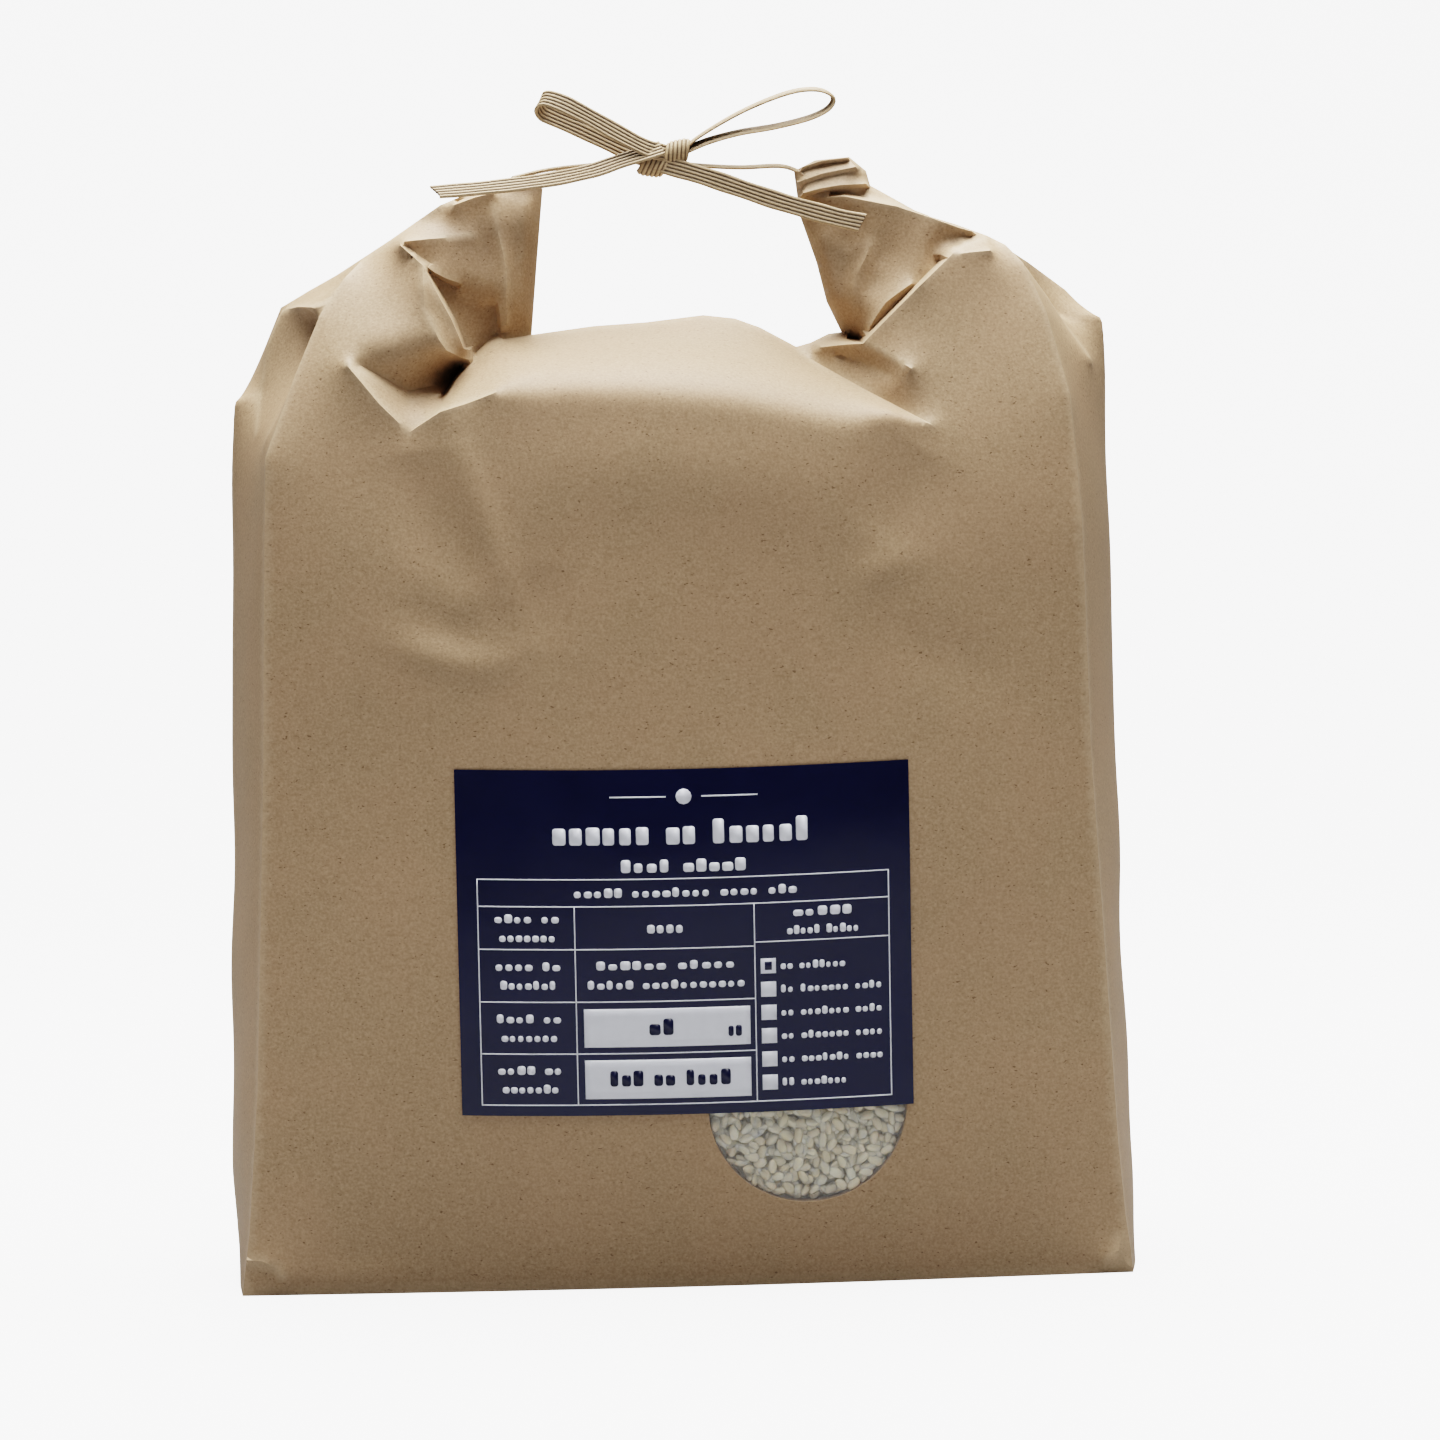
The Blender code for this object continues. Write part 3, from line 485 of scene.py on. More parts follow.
class RiceBagSettings(PropertyGroup):
    """All that a user would change on the rice bag."""

    paper: PointerProperty(type=RiceBagPaper)
    rice: PointerProperty(type=RiceBagRice)
    label: PointerProperty(type=RiceBagLabel)
    string: PointerProperty(type=RiceBagString)


# Lines and curves
def along(keys, step):
    """Points on straight runs between the key points, about a step apart, keys included."""
    keys = np.asarray(keys, float)
    points = [keys[0]]
    for a, b in zip(keys[:-1], keys[1:]):
        count = max(1, round(float(np.linalg.norm(b - a)) / step))
        points += [a + (b - a) * i / count for i in range(1, count + 1)]
    return points


def curved(keys, step):
    """Points on one smooth curve through the key points, about a step apart, keys included."""
    keys = np.asarray(keys, float)
    padded = np.vstack([2 * keys[0] - keys[1], keys, 2 * keys[-1] - keys[-2]])
    points = [keys[0]]
    for p0, p1, p2, p3 in zip(padded, padded[1:], padded[2:], padded[3:]):
        count = max(1, round(float(np.linalg.norm(p2 - p1)) / step))
        for i in range(1, count + 1):
            t = i / count
            points.append(
                0.5 * (2 * p1 + (p2 - p0) * t + (2 * p0 - 5 * p1 + 4 * p2 - p3) * t**2
                       + (3 * p1 - p0 - 3 * p2 + p3) * t**3)
            )
    return points


def inset(line, distance):
    """A line moved sideways in the front view, to the left of its own way."""
    moved = []
    for i, p in enumerate(line):
        way = line[min(i + 1, len(line) - 1)] - line[max(i - 1, 0)]
        side = np.array([-way[2], 0.0, way[0]]) / math.hypot(way[0], way[2])
        moved.append(p + side * distance)
    return moved


def inside(outline, spots):
    """Which spots of the front view lie inside a closed outline."""
    found = np.zeros(len(spots), bool)
    x, z = spots[:, 0], spots[:, 1]
    for (x1, z1), (x2, z2) in zip(outline, outline[1:] + outline[:1]):
        crossed = (z1 > z) != (z2 > z)
        if z1 != z2:
            found ^= crossed & (x < (x2 - x1) * (z - z1) / (z2 - z1) + x1)
    return found


def distance_to(line, spots):
    """How far each spot is from a line of points, and how far along the line its foot lies, from 0 to 1."""
    line = np.asarray(line)
    lengths = np.linalg.norm(line[1:] - line[:-1], axis=1)
    total = max(lengths.sum(), SMALLEST)
    best = np.full(len(spots), FARTHEST)
    share = np.zeros(len(spots))
    gone = 0.0
    for start, end, length in zip(line[:-1], line[1:], lengths):
        way = end - start
        t = np.clip((spots - start) @ way / max(way @ way, 1e-12), 0, 1)
        away = np.linalg.norm(spots - start - t[:, None] * way, axis=1)
        nearer = away < best
        best = np.where(nearer, away, best)
        share = np.where(nearer, (gone + t * length) / total, share)
        gone += length
    return best, share


def waves(spots, wavelength, seed, count=7):
    """A smooth seeded swell over 2D or 3D spots, from about -1 to 1."""
    draw = np.random.default_rng(seed)
    size = spots.shape[1]
    total = np.zeros(len(spots))
    for _ in range(count):
        way = draw.normal(size=size)
        way /= np.linalg.norm(way)
        length = wavelength * draw.uniform(0.7, 1.5)
        total += np.sin(spots @ way * 2 * math.pi / length + draw.uniform(0, 6.3))
    return total / math.sqrt(count)


# Stretched paper panels
def edge_pulls(flat, triangles):
    """The edges of a flat sheet, how strongly each pulls, and the area that each point carries."""
    ends, pulls = [], []
    for i, j, k in ((0, 1, 2), (1, 2, 0), (2, 0, 1)):
        a = flat[triangles[:, i]] - flat[triangles[:, k]]
        b = flat[triangles[:, j]] - flat[triangles[:, k]]
        cross = np.abs(a[:, 0] * b[:, 1] - a[:, 1] * b[:, 0])
        pull = 0.5 * (a * b).sum(1) / np.maximum(cross, SMALLEST)
        pulls.append(np.clip(pull, WEAKEST_PULL, STRONGEST_PULL))
        ends.append(triangles[:, [i, j]])
    area = np.bincount(triangles.ravel(), np.repeat(cross / 6, 3), len(flat))
    return np.vstack(ends), np.concatenate(pulls), area


def stretch(network, heights, held, push):
    """Heights of a sheet that is held at some points and swells by a push at the others."""
    ends, pulls, area = network
    count = len(heights)
    free = ~held
    diagonal = np.maximum(np.bincount(ends.ravel(), np.repeat(pulls, 2), count), SMALLEST)

    def pull(h):
        flow = pulls * (h[ends[:, 0]] - h[ends[:, 1]])
        return np.bincount(ends[:, 0], flow, count) - np.bincount(ends[:, 1], flow, count)

    h = np.where(held, heights, heights[held].mean())
    rest = (push * area - pull(h)) * free
    step = rest / diagonal
    size = rest @ step
    for _ in range(STRETCH_ROUNDS):
        turned = pull(step) * free
        share = size / (step @ turned)
        h += share * step
        rest -= share * turned
        scaled = rest / diagonal
        grown = rest @ scaled
        if grown < STRETCHED:
            break
        step = scaled + grown / size * step
        size = grown
    return h


def relax(network, heights, weights, rounds):
    """Rounds the heights of a sheet, each point by its own weight."""
    ends, pulls, _ = network
    count = len(heights)
    total = np.maximum(np.bincount(ends.ravel(), np.repeat(pulls, 2), count), SMALLEST)
    for _ in range(rounds):
        sums = np.bincount(ends[:, 0], pulls * heights[ends[:, 1]], count)
        sums += np.bincount(ends[:, 1], pulls * heights[ends[:, 0]], count)
        heights = heights + RELAX_SHARE * weights * (sums / total - heights)
    return heights


def panel(across, out, rim, folds, push, steps, free_lines=()):
    """A paper panel between its rim and its folds.

    across and out are the axes that the panel spreads along (with Z) and swells along. Gives the
    points, the triangles, how near each point is to a crisp fold, from 0 to 1, and its distance
    from the rim.
    """
    fold_step, body_step = steps
    points, edges, held = [], [], []
    lines = [(rim, True, True)]
    lines += [(along(keys, fold_step), False, True) for _, keys in folds.values()]
    lines += [(line, closed, False) for line, closed in free_lines]
    for line, closed, fixed in lines:
        first = len(points)
        points += list(line)
        held += [fixed] * len(line)
        last = len(points) - 1
        edges += [(i, i + 1) for i in range(first, last)]
        if closed:
            edges.append((last, first))
    drawn = np.array(points)[:, [across, 2]]
    near = KDTree(len(drawn))
    for i, p in enumerate(drawn):
        near.insert((p[0], p[1], 0.0), i)
    near.balance()
    low, high = drawn.min(0), drawn.max(0)
    for step, bottom, top in ((body_step, low[1], SHOULDER_FROM), (fold_step, SHOULDER_FROM, high[1])):
        rows = max(2, int((top - bottom) / (step * ROW_PITCH)))
        for row in range(rows):
            z = bottom + (top - bottom) * (row + 0.5) / rows
            for a in np.arange(low[0] + step * (0.5 if row % 2 else 1.0), high[0], step):
                if near.find((a, z, 0.0))[2] > CLEAR_OF_LINES * step:
                    points.append(np.array([a, 0.0, z] if across == 0 else [0.0, a, z]))
                    held.append(False)
    given = [Vector((p[across], p[2])) for p in points]
    flat, _, faces, sources, _, _ = delaunay_2d_cdt(given, edges, [], 1, 1e-5)
    flat = np.array([tuple(v) for v in flat])
    source = np.array([s[0] if s else -1 for s in sources])
    fixed = np.array([s >= 0 and held[s] for s in source])
    heights = np.array([points[s][out] if s >= 0 else 0.0 for s in source])
    triangles = np.array(faces)
    used = np.zeros(len(flat), bool)
    used[triangles.ravel()] = True
    network = edge_pulls(flat, triangles)
    solved = stretch(network, heights, fixed | ~used, push)
    solved = np.where(fixed, heights, solved)

    soft = np.zeros(len(flat))
    crisp = np.full(len(flat), FARTHEST)
    for softness, keys in folds.values():
        away, _ = distance_to(np.asarray(keys, float)[:, [across, 2]], flat)
        reach = SOFT_REACH + SOFT_SPREAD * softness
        soft = np.maximum(soft, softness * np.exp(-((away / reach) ** 2)))
        crisp = np.minimum(crisp, away + SOFT_CALM * softness)
    rim_away, _ = distance_to(np.array(list(rim) + [rim[0]])[:, [across, 2]], flat)
    weights = soft**1.6 * np.clip(crisp / CRISP_FADE, 0, 1) * np.clip(rim_away / RIM_FADE, 0, 1)
    solved = relax(network, solved, weights, SOFTENING)

    made = np.zeros((len(flat), 3))
    made[:, across] = flat[:, 0]
    made[:, 2] = flat[:, 1]
    made[:, out] = solved
    rim_count = len(rim)
    for i in np.nonzero((source >= 0) & (source < rim_count))[0]:
        made[i] = points[source[i]]
    # The last value is the crease mask: the paper is painted paler there, partly from rubbing and partly as a
    # painted highlight
    return made, triangles, np.exp(-((np.minimum(crisp, rim_away) / CREASE_WEAR_AND_HIGHLIGHT_REACH) ** 2)), rim_away


# Meshes and materials
def mesh_object(name, points, faces, look, sharp=None, turn_out=True):
    """One smooth-shaded piece from points in millimetres.

    sharp is the angle, in degrees, from which an edge stays sharp; turn_out turns the faces outwards.
    """
    mesh = bpy.data.meshes.new(name)
    mesh.from_pydata([tuple(float(c) * MM for c in p) for p in points], [], [tuple(f) for f in faces])
    if turn_out:
        cleaner = bmesh.new()
        cleaner.from_mesh(mesh)
        bmesh.ops.recalc_face_normals(cleaner, faces=cleaner.faces)
        cleaner.to_mesh(mesh)
        cleaner.free()
    mesh.shade_smooth()
    if sharp:
        mesh.set_sharp_from_angle(angle=math.radians(sharp))
    mesh.materials.append(look)
    made = bpy.data.objects.new(name, mesh)
    bpy.context.scene.collection.objects.link(made)
    return made


def point_values(piece, name, values):
    """Stores one number for each point of a piece, for its material to read."""
    layer = piece.data.attributes.new(name, "FLOAT", "POINT")
    layer.data.foreach_set("value", np.asarray(values, np.float32))


def place(piece, slot, *nodes):
    """Sets a piece on the bag's body in place of its plain solids; slot is not used."""
    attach(piece, BODY)
    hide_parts(*nodes)


def set_sockets(node, sockets):
    """Sets the values of a node's input sockets, by name or number."""
    for socket, value in sockets.items():
        node.inputs[socket].default_value = value


def add(tree, kind, sockets=None, **settings):
    """A shader node with its settings, and the values of its input sockets."""
    node = tree.nodes.new(kind)
    for name, value in settings.items():
        setattr(node, name, value)
    set_sockets(node, sockets or {})
    return node


def wire(tree, *links):
    """Links output sockets to input sockets, given as (node, socket, node, socket)."""
    for from_node, output, to_node, socket in links:
        tree.links.new(from_node.outputs[output], to_node.inputs[socket])


def blend(tree, first, second, factor):
    """A mix of two colours by a factor, (node, socket); a colour is three numbers or a mix."""
    mix = add(tree, "ShaderNodeMix", data_type="RGBA")
    for socket, colour in (("A", first), ("B", second)):
        if isinstance(colour, bpy.types.Node):
            wire(tree, (colour, "Result", mix, socket))
        else:
            mix.inputs[socket].default_value = (*colour, 1)
    wire(tree, (*factor, mix, "Factor"))
    return mix


def surface_noise(tree, scale):
    """Noise that stays in its place on the piece."""
    spot = tree.nodes.new("ShaderNodeTexCoord")
    noise = add(tree, "ShaderNodeTexNoise", {"Scale": scale})
    wire(tree, (spot, "Object", noise, "Vector"))
    return noise


def emboss(tree, shader, source, output, strength, distance):
    """Gives a shader fine relief from a height that a node puts out."""
    bump = add(tree, "ShaderNodeBump", {"Strength": strength, "Distance": distance})
    wire(tree, (source, output, bump, "Height"), (bump, "Normal", shader, "Normal"))


def fibre_group():
    """Paper fibres: tone, sparse dark flecks, fine relief and broad clouds, shared by paper and string."""
    found = bpy.data.node_groups.get("paper_fibres")
    if found:
        return found
    group = bpy.data.node_groups.new("paper_fibres", "ShaderNodeTree")
    for name, default in (("Fibre Scale", 900.0), ("Cloud Scale", 26.0), ("Fleck Amount", 0.5)):
        socket = group.interface.new_socket(name=name, in_out="INPUT", socket_type="NodeSocketFloat")
        socket.default_value = default
    for name in ("Tone", "Fleck", "Relief", "Cloud"):
        group.interface.new_socket(name=name, in_out="OUTPUT", socket_type="NodeSocketFloat")
    entry = group.nodes.new("NodeGroupInput")
    leave = group.nodes.new("NodeGroupOutput")
    spot = group.nodes.new("ShaderNodeTexCoord")
    grain = add(group, "ShaderNodeTexNoise", {"Detail": 3.0})
    drawn_out = add(group, "ShaderNodeMapping", {"Scale": (0.3, 1.0, 1.0), "Rotation": (0.5, 0.35, 0.9)})
    streak = add(group, "ShaderNodeTexNoise", {"Detail": 2.0})
    fine = add(group, "ShaderNodeMath", {1: 0.3}, operation="MULTIPLY_ADD")
    wire(group, (spot, "Object", grain, "Vector"), (entry, "Fibre Scale", grain, "Scale"),
         (spot, "Object", drawn_out, "Vector"), (drawn_out, "Vector", streak, "Vector"),
         (entry, "Fibre Scale", streak, "Scale"), (streak, "Fac", fine, 0), (grain, "Fac", fine, 2),
         (fine, 0, leave, "Relief"))
    cloud = add(group, "ShaderNodeTexNoise", {"Detail": 4.0})
    both = add(group, "ShaderNodeMath", {1: 0.14}, operation="MULTIPLY_ADD")
    tone = add(group, "ShaderNodeMapRange", {"From Min": 0.48, "From Max": 0.94})
    wire(group, (spot, "Object", cloud, "Vector"), (entry, "Cloud Scale", cloud, "Scale"),
         (cloud, "Fac", leave, "Cloud"), (cloud, "Fac", both, 0), (fine, 0, both, 2),
         (both, 0, tone, "Value"), (tone, "Result", leave, "Tone"))
    finer = add(group, "ShaderNodeMath", {1: 1.1}, operation="MULTIPLY")
    moved = add(group, "ShaderNodeMapping", {"Scale": (0.55, 1.0, 1.0), "Location": (9.0, 3.0, 4.0)})
    speck = add(group, "ShaderNodeTexNoise", {"Detail": 1.0})
    fleck = add(group, "ShaderNodeMapRange", {"From Min": 0.68, "From Max": 0.76})
    amount = add(group, "ShaderNodeMath", operation="MULTIPLY")
    wire(group, (entry, "Fibre Scale", finer, 0), (spot, "Object", moved, "Vector"),
         (moved, "Vector", speck, "Vector"), (finer, 0, speck, "Scale"), (speck, "Fac", fleck, "Value"),
         (fleck, "Result", amount, 0), (entry, "Fleck Amount", amount, 1), (amount, 0, leave, "Fleck"))
    return group


def fibres_of(tree, scale, clouds, flecks):
    """The paper fibres, placed in a material with its own values."""
    return add(
        tree, "ShaderNodeGroup", {"Fibre Scale": scale, "Cloud Scale": clouds, "Fleck Amount": flecks},
        node_tree=fibre_group(),
    )


def new_material(name):
    """A named material with its node tree and its shader."""
    made = bpy.data.materials.new(name)
    made.use_nodes = True
    return made, made.node_tree, made.node_tree.nodes["Principled BSDF"]


def paper_material(settings):
    """Unbleached kraft paper: fibres, warm clouds, flecks, and creases painted paler, partly from rubbing and
    partly as a painted highlight.
    """
    made, tree, shader = new_material("kraft_paper")
    fibres = fibres_of(tree, 1150.0, 30.0, 0.75)
    warmth = add(tree, "ShaderNodeMapRange", {"From Min": 0.4, "From Max": 0.62, "To Max": 0.14})
    crease = add(tree, "ShaderNodeAttribute", attribute_name="crease")
    # Creases painted paler: partly rubbing, partly a painted highlight on the folds
    wear_and_highlight = add(tree, "ShaderNodeMath", {1: 0.32}, operation="MULTIPLY")
    rough = add(tree, "ShaderNodeMapRange", {"To Min": 0.5, "To Max": 0.66})
    fibred = blend(tree, settings.dark_colour, settings.light_colour, (fibres, "Tone"))
    warmed = blend(tree, fibred, WARM_CLOUD, (warmth, "Result"))
    flecked = blend(tree, warmed, FLECK, (fibres, "Fleck"))
    worn_and_highlit = blend(tree, flecked, CREASE_WEAR_AND_HIGHLIGHT, (wear_and_highlight, "Value"))
    wire(tree, (fibres, "Cloud", warmth, "Value"), (crease, "Fac", wear_and_highlight, 0),
         (worn_and_highlit, "Result", shader, "Base Color"), (fibres, "Tone", rough, "Value"),
         (rough, "Result", shader, "Roughness"))
    emboss(tree, shader, fibres, "Relief", 0.25, 0.00025)
    set_sockets(shader, {"Specular IOR Level": 0.3})
    return made


def string_material(settings):
    """Twisted paper cord: pale ribs, painted shade in the grooves and fine fibres."""
    made, tree, shader = new_material("paper_string")
    fibres = fibres_of(tree, 1500.0, 90.0, 0.25)
    depth = add(tree, "ShaderNodeAttribute", attribute_name="groove")
    fibred = blend(tree, [c * 0.72 for c in settings.colour], settings.colour, (fibres, "Tone"))
    flecked = blend(tree, fibred, STRING_FLECK, (fibres, "Fleck"))
    # Painted shade in the grooves between the cords
    groove_shaded = blend(tree, flecked, STRING_GROOVE_SHADE, (depth, "Fac"))
    wire(tree, (groove_shaded, "Result", shader, "Base Color"))
    emboss(tree, shader, fibres, "Relief", 0.4, 0.0002)
    set_sockets(shader, {"Roughness": 0.62})
    return made


def label_material(settings):
    """Glossy printed film with a faint swell from the paper under it."""
    made, tree, shader = new_material("label_film")
    noise = surface_noise(tree, 34.0)
    rough = add(tree, "ShaderNodeMapRange", {"To Min": 0.1, "To Max": 0.2})
    ground = blend(
        tree, [c * 0.8 for c in settings.ground], [c * 1.25 for c in settings.ground], (noise, "Fac")
    )
    wire(tree, (ground, "Result", shader, "Base Color"), (noise, "Fac", rough, "Value"),
         (rough, "Result", shader, "Roughness"))
    emboss(tree, shader, noise, "Fac", 0.35, 0.0006)
    set_sockets(shader, {"Specular IOR Level": 0.38})
    return made


def print_material(settings):
    """Pale printing ink under the label's gloss, with dark ink where the print is stamped."""
    made, tree, shader = new_material("label_ink")
    noise = surface_noise(tree, 260.0)
    stamped = add(tree, "ShaderNodeAttribute", attribute_name="dark")
    pale = blend(tree, [c * 0.9 for c in settings.print_colour], settings.print_colour, (noise, "Fac"))
    inked = blend(tree, pale, settings.ground, (stamped, "Fac"))
    wire(tree, (inked, "Result", shader, "Base Color"))
    set_sockets(shader, {"Roughness": 0.3})
    return made


def rice_material(settings):
    """Polished short grain: slightly glassy, some grains chalkier than others."""
    made, tree, shader = new_material("rice_grain")
    chalk = add(tree, "ShaderNodeAttribute", attribute_name="chalk")
    glassy = [c * share for c, share in zip(settings.colour, GLASSY_RICE)]
    chalky = [min(1, c * share) for c, share in zip(settings.colour, CHALKY_RICE)]
    colour = blend(tree, glassy, chalky, (chalk, "Fac"))
    wire(tree, (colour, "Result", shader, "Base Color"))
    emboss(tree, shader, surface_noise(tree, 700.0), "Fac", 0.2, 0.0001)
    set_sockets(shader, {
        "Roughness": 0.24, "Subsurface Weight": 0.75, "Subsurface Radius": (0.002, 0.0017, 0.0012),
        "Subsurface Scale": 1.0,
    })
    return made


def film_material():
    """Thin clear film: almost gone head-on, glossier at a slant."""
    made, tree, shader = new_material("clear_film")
    slant = add(tree, "ShaderNodeLayerWeight", {"Blend": 0.25})
    veil = add(tree, "ShaderNodeMapRange", {"To Min": 0.1, "To Max": 0.22})
    wire(tree, (slant, "Facing", veil, "Value"), (veil, "Result", shader, "Alpha"))
    emboss(tree, shader, surface_noise(tree, 120.0), "Fac", 0.3, 0.0003)
    set_sockets(shader, {"Base Color": (*FILM_HAZE, 1), "Roughness": 0.09})
    return made


def stage_material():
    """Plain pale backdrop that throws little light back on the bag."""
    made, tree, shader = new_material("pale_backdrop")
    seen = tree.nodes.new("ShaderNodeLightPath")
    glow = add(tree, "ShaderNodeMath", {1: BACKDROP_GLOW}, operation="MULTIPLY")
    wire(tree, (seen, "Is Camera Ray", glow, 0), (glow, 0, shader, "Emission Strength"))
    set_sockets(shader, {
        "Emission Color": (1, 1, 1, 1), "Base Color": (*BACKDROP_GREY, 1), "Roughness": 0.9,
        "Specular IOR Level": 0.1,
    })
    return made


# The bag's form, worked out once and shared by the pieces that lie on it
def ring(radius, count):
    """Points of a circle round the window's middle."""
    turns = [2 * math.pi * i / count for i in range(count)]
    return [np.array([WINDOW_X + radius * math.cos(t), 0.0, WINDOW_Z + radius * math.sin(t)]) for t in turns]


def base_edge(start, end, bow, step):
    """The bowed lower edge of a panel, without its two ends; bow is how far its middle is moved."""
    start, end = np.asarray(start, float), np.asarray(end, float)
    count = round(float(np.linalg.norm(end - start)) / step)
    way = [start + (end - start) * i / count for i in range(1, count)]
    return [p + np.asarray(bow, float) * math.sin(math.pi * (i + 1) / count) for i, p in enumerate(way)]


def press(points, rim_away, dents):
    """Presses soft dents into the front."""
    spots = points[:, [0, 2]]
    for keys, depth, width in dents:
        line = np.array(curved(keys, 3.0))
        away, share = distance_to(line, spots)
        taper = np.sin(math.pi * np.clip(share, 0.04, 0.96)) ** 0.7
        points[:, 1] += depth * taper * np.exp(-((away / width) ** 2)) * np.clip(rim_away / 2, 0, 1)


def bag_form(steps):
    """The panels of the bag with their crease masks, and a search tree of the front before its window."""
    fold_step, body_step = steps
    rims = {}
    for name, keys in (
        ("left_front", LEFT_FRONT_CREASE), ("right_front", RIGHT_FRONT_CREASE),
        ("left_back", LEFT_BACK_CREASE), ("right_back", RIGHT_BACK_CREASE),
    ):
        rims[name] = along(keys, fold_step)
    top = along(TOP_FOLD, fold_step)
    corners = [rims[name][0] for name in ("left_front", "right_front", "right_back", "left_back")]
    front_edge = base_edge(corners[0], corners[1], (0, -BASE_BOW, 0), body_step)
    right_edge = base_edge(corners[1], corners[2], (BASE_BOW, 0, 0), body_step)
    back_edge = base_edge(corners[2], corners[3], (0, BASE_BOW, 0), body_step)
    left_edge = base_edge(corners[3], corners[0], (-LEFT_BASE_BOW, 0, 0), body_step)
    front_rim = front_edge + rims["right_front"] + top[-2:0:-1] + rims["left_front"][::-1]
    back_rim = back_edge + rims["left_back"] + top[1:-1] + rims["right_back"][::-1]
    left_rim = left_edge + rims["left_front"] + rims["left_back"][-2::-1]
    right_rim = right_edge + rims["right_back"] + rims["right_front"][-2::-1]
    rings = [(ring(r, WINDOW_SIDES), True) for r in (WINDOW_RADIUS, WINDOW_RADIUS - WINDOW_WALL)]
    hem = curved(ROLL_HEM, fold_step)
    hem_lines = [(hem, False), (inset(hem, ROLL_EDGE), False)]
    top_fold = [p[[0, 2]] for p in along(TOP_FOLD[ROLL_FROM:ROLL_TO], fold_step)]
    front = panel(0, 1, front_rim, FRONT_FOLDS, -FRONT_PUSH, steps, rings)
    back = panel(0, 1, back_rim, BACK_FOLDS, BACK_PUSH, steps, hem_lines)
    left = panel(1, 0, left_rim, LEFT_FOLDS, -SIDE_PUSH, steps)
    right = panel(1, 0, right_rim, RIGHT_FOLDS, SIDE_PUSH, steps)

    press(front[0], front[3], FRONT_DENTS)
    for made, _, _, rim_away in (front, back):
        spots = made[:, [0, 2]]
        swell = waves(spots, WALL_WAVE, 3) * WALL_SWELL + waves(spots, FINE_WAVE, 4) * FINE_SWELL
        made[:, 1] += swell * np.clip(rim_away / CALM_RIM, 0, 1)
    for made, _, _, rim_away in (left, right):
        swell = waves(made[:, [1, 2]], GUSSET_WAVE, 5) * GUSSET_SWELL
        made[:, 0] += swell * np.clip(rim_away / CALM_GUSSET_RIM, 0, 1)

    tree = BVHTree.FromPolygons([Vector(p) for p in front[0]], [tuple(int(i) for i in t) for t in front[1]])
    away = np.hypot(front[0][:, 0] - WINDOW_X, front[0][:, 2] - WINDOW_Z)
    front[0][away < WINDOW_RADIUS - WINDOW_WALL / 2, 1] += WINDOW_DEPTH

    spots = back[0][:, [0, 2]]
    hem_line = [p[[0, 2]] for p in hem]
    rise = np.clip(distance_to(hem_line, spots)[0] / ROLL_EDGE, 0, 1)
    rise *= np.clip(back[3] / ROLL_ROUNDING, 0, 1) ** 0.5
    back[0][:, 1] += ROLL_THICKNESS * rise * inside(hem_line + top_fold[::-1], spots)

    base_rim = front_edge + [corners[1]] + right_edge + [corners[2]] + back_edge + [corners[3]]
    base_rim += left_edge + [corners[0]]
    count = len(base_rim)
    _, _, faces, sources, _, _ = delaunay_2d_cdt(
        [Vector((p[0], p[1])) for p in base_rim], [(i, (i + 1) % count) for i in range(count)], [], 1, 1e-5
    )
    base = (np.array([base_rim[s[0]] for s in sources]), np.array(faces), np.zeros(count), None)
    return [front, back, left, right, base], tree


FORM = {}


def front_spot(x, z):
    """The front's surface at a place in the front view, in millimetres."""
    hit = FORM["front"].ray_cast(Vector((x, -300.0, z)), Vector((0, 1, 0)))
    return hit[0] if hit[0] else Vector((x, -HALF_DEPTH, z))


def weld(panels):
    """One mesh from the panels, joined where their rims meet."""
    places, points, faces, creases = {}, [], [], []
    for made, triangles, crease, _ in panels:
        index = []
        for p, mask in zip(made, crease):
            key = tuple(np.round(p, WELD_DIGITS))
            if key not in places:
                places[key] = len(points)
                points.append(p)
                creases.append(mask)
            index.append(places[key])
        for triangle in triangles:
            corners = [index[i] for i in triangle]
            if len(set(corners)) == 3:
                faces.append(corners)
    return np.array(points), faces, np.array(creases)


class RICEBAG_OT_paper(Operator):
    """Builds the paper bag: stretched panels, rolled top, ears and folds."""

    bl_idname = "ricebag.paper"
    bl_label = "Paper Bag"

    def execute(self, context):
        settings = context.scene.rice_bag.paper
        steps = (settings.fold_step / MM, settings.body_step / MM)
        panels, FORM["front"] = bag_form(steps)
        points, faces, creases = weld(panels)
        bag = mesh_object("paper_bag", points, faces, paper_material(settings), sharp=38)
        point_values(bag, "crease", creases)
        place(bag, "kraft_paper", "bag")
        return {"FINISHED"}


def disc_mesh(name, radius, depth, thickness, look, bumps=0.0):
    """A round plate in the window that follows the front at a depth behind it, its faces bumpy if asked."""
    circles, sides = 14, 96
    points, faces = [], []
    for layer_depth in (depth, depth + thickness):
        spots = [np.array([WINDOW_X, 0, WINDOW_Z])]
        for c in range(1, circles + 1):
            spots += ring(radius * c / circles, sides)
        relief = waves(np.array(spots)[:, [0, 2]], 4.0, 8) * bumps
        for p, rise in zip(spots, relief):
            points.append((p[0], front_spot(p[0], p[2]).y + layer_depth + rise, p[2]))
    layer = 1 + circles * sides
    for side in range(sides):
        after = (side + 1) % sides
        for start in (0, layer):
            faces.append((start, start + 1 + side, start + 1 + after))
            for c in range(circles - 1):
                inner, outer = start + 1 + c * sides, start + 1 + (c + 1) * sides
                faces.append((inner + side, outer + side, outer + after, inner + after))
        rim = 1 + (circles - 1) * sides
        faces.append((rim + side, rim + after, layer + rim + after, layer + rim + side))
    return mesh_object(name, points, faces, look, sharp=40)


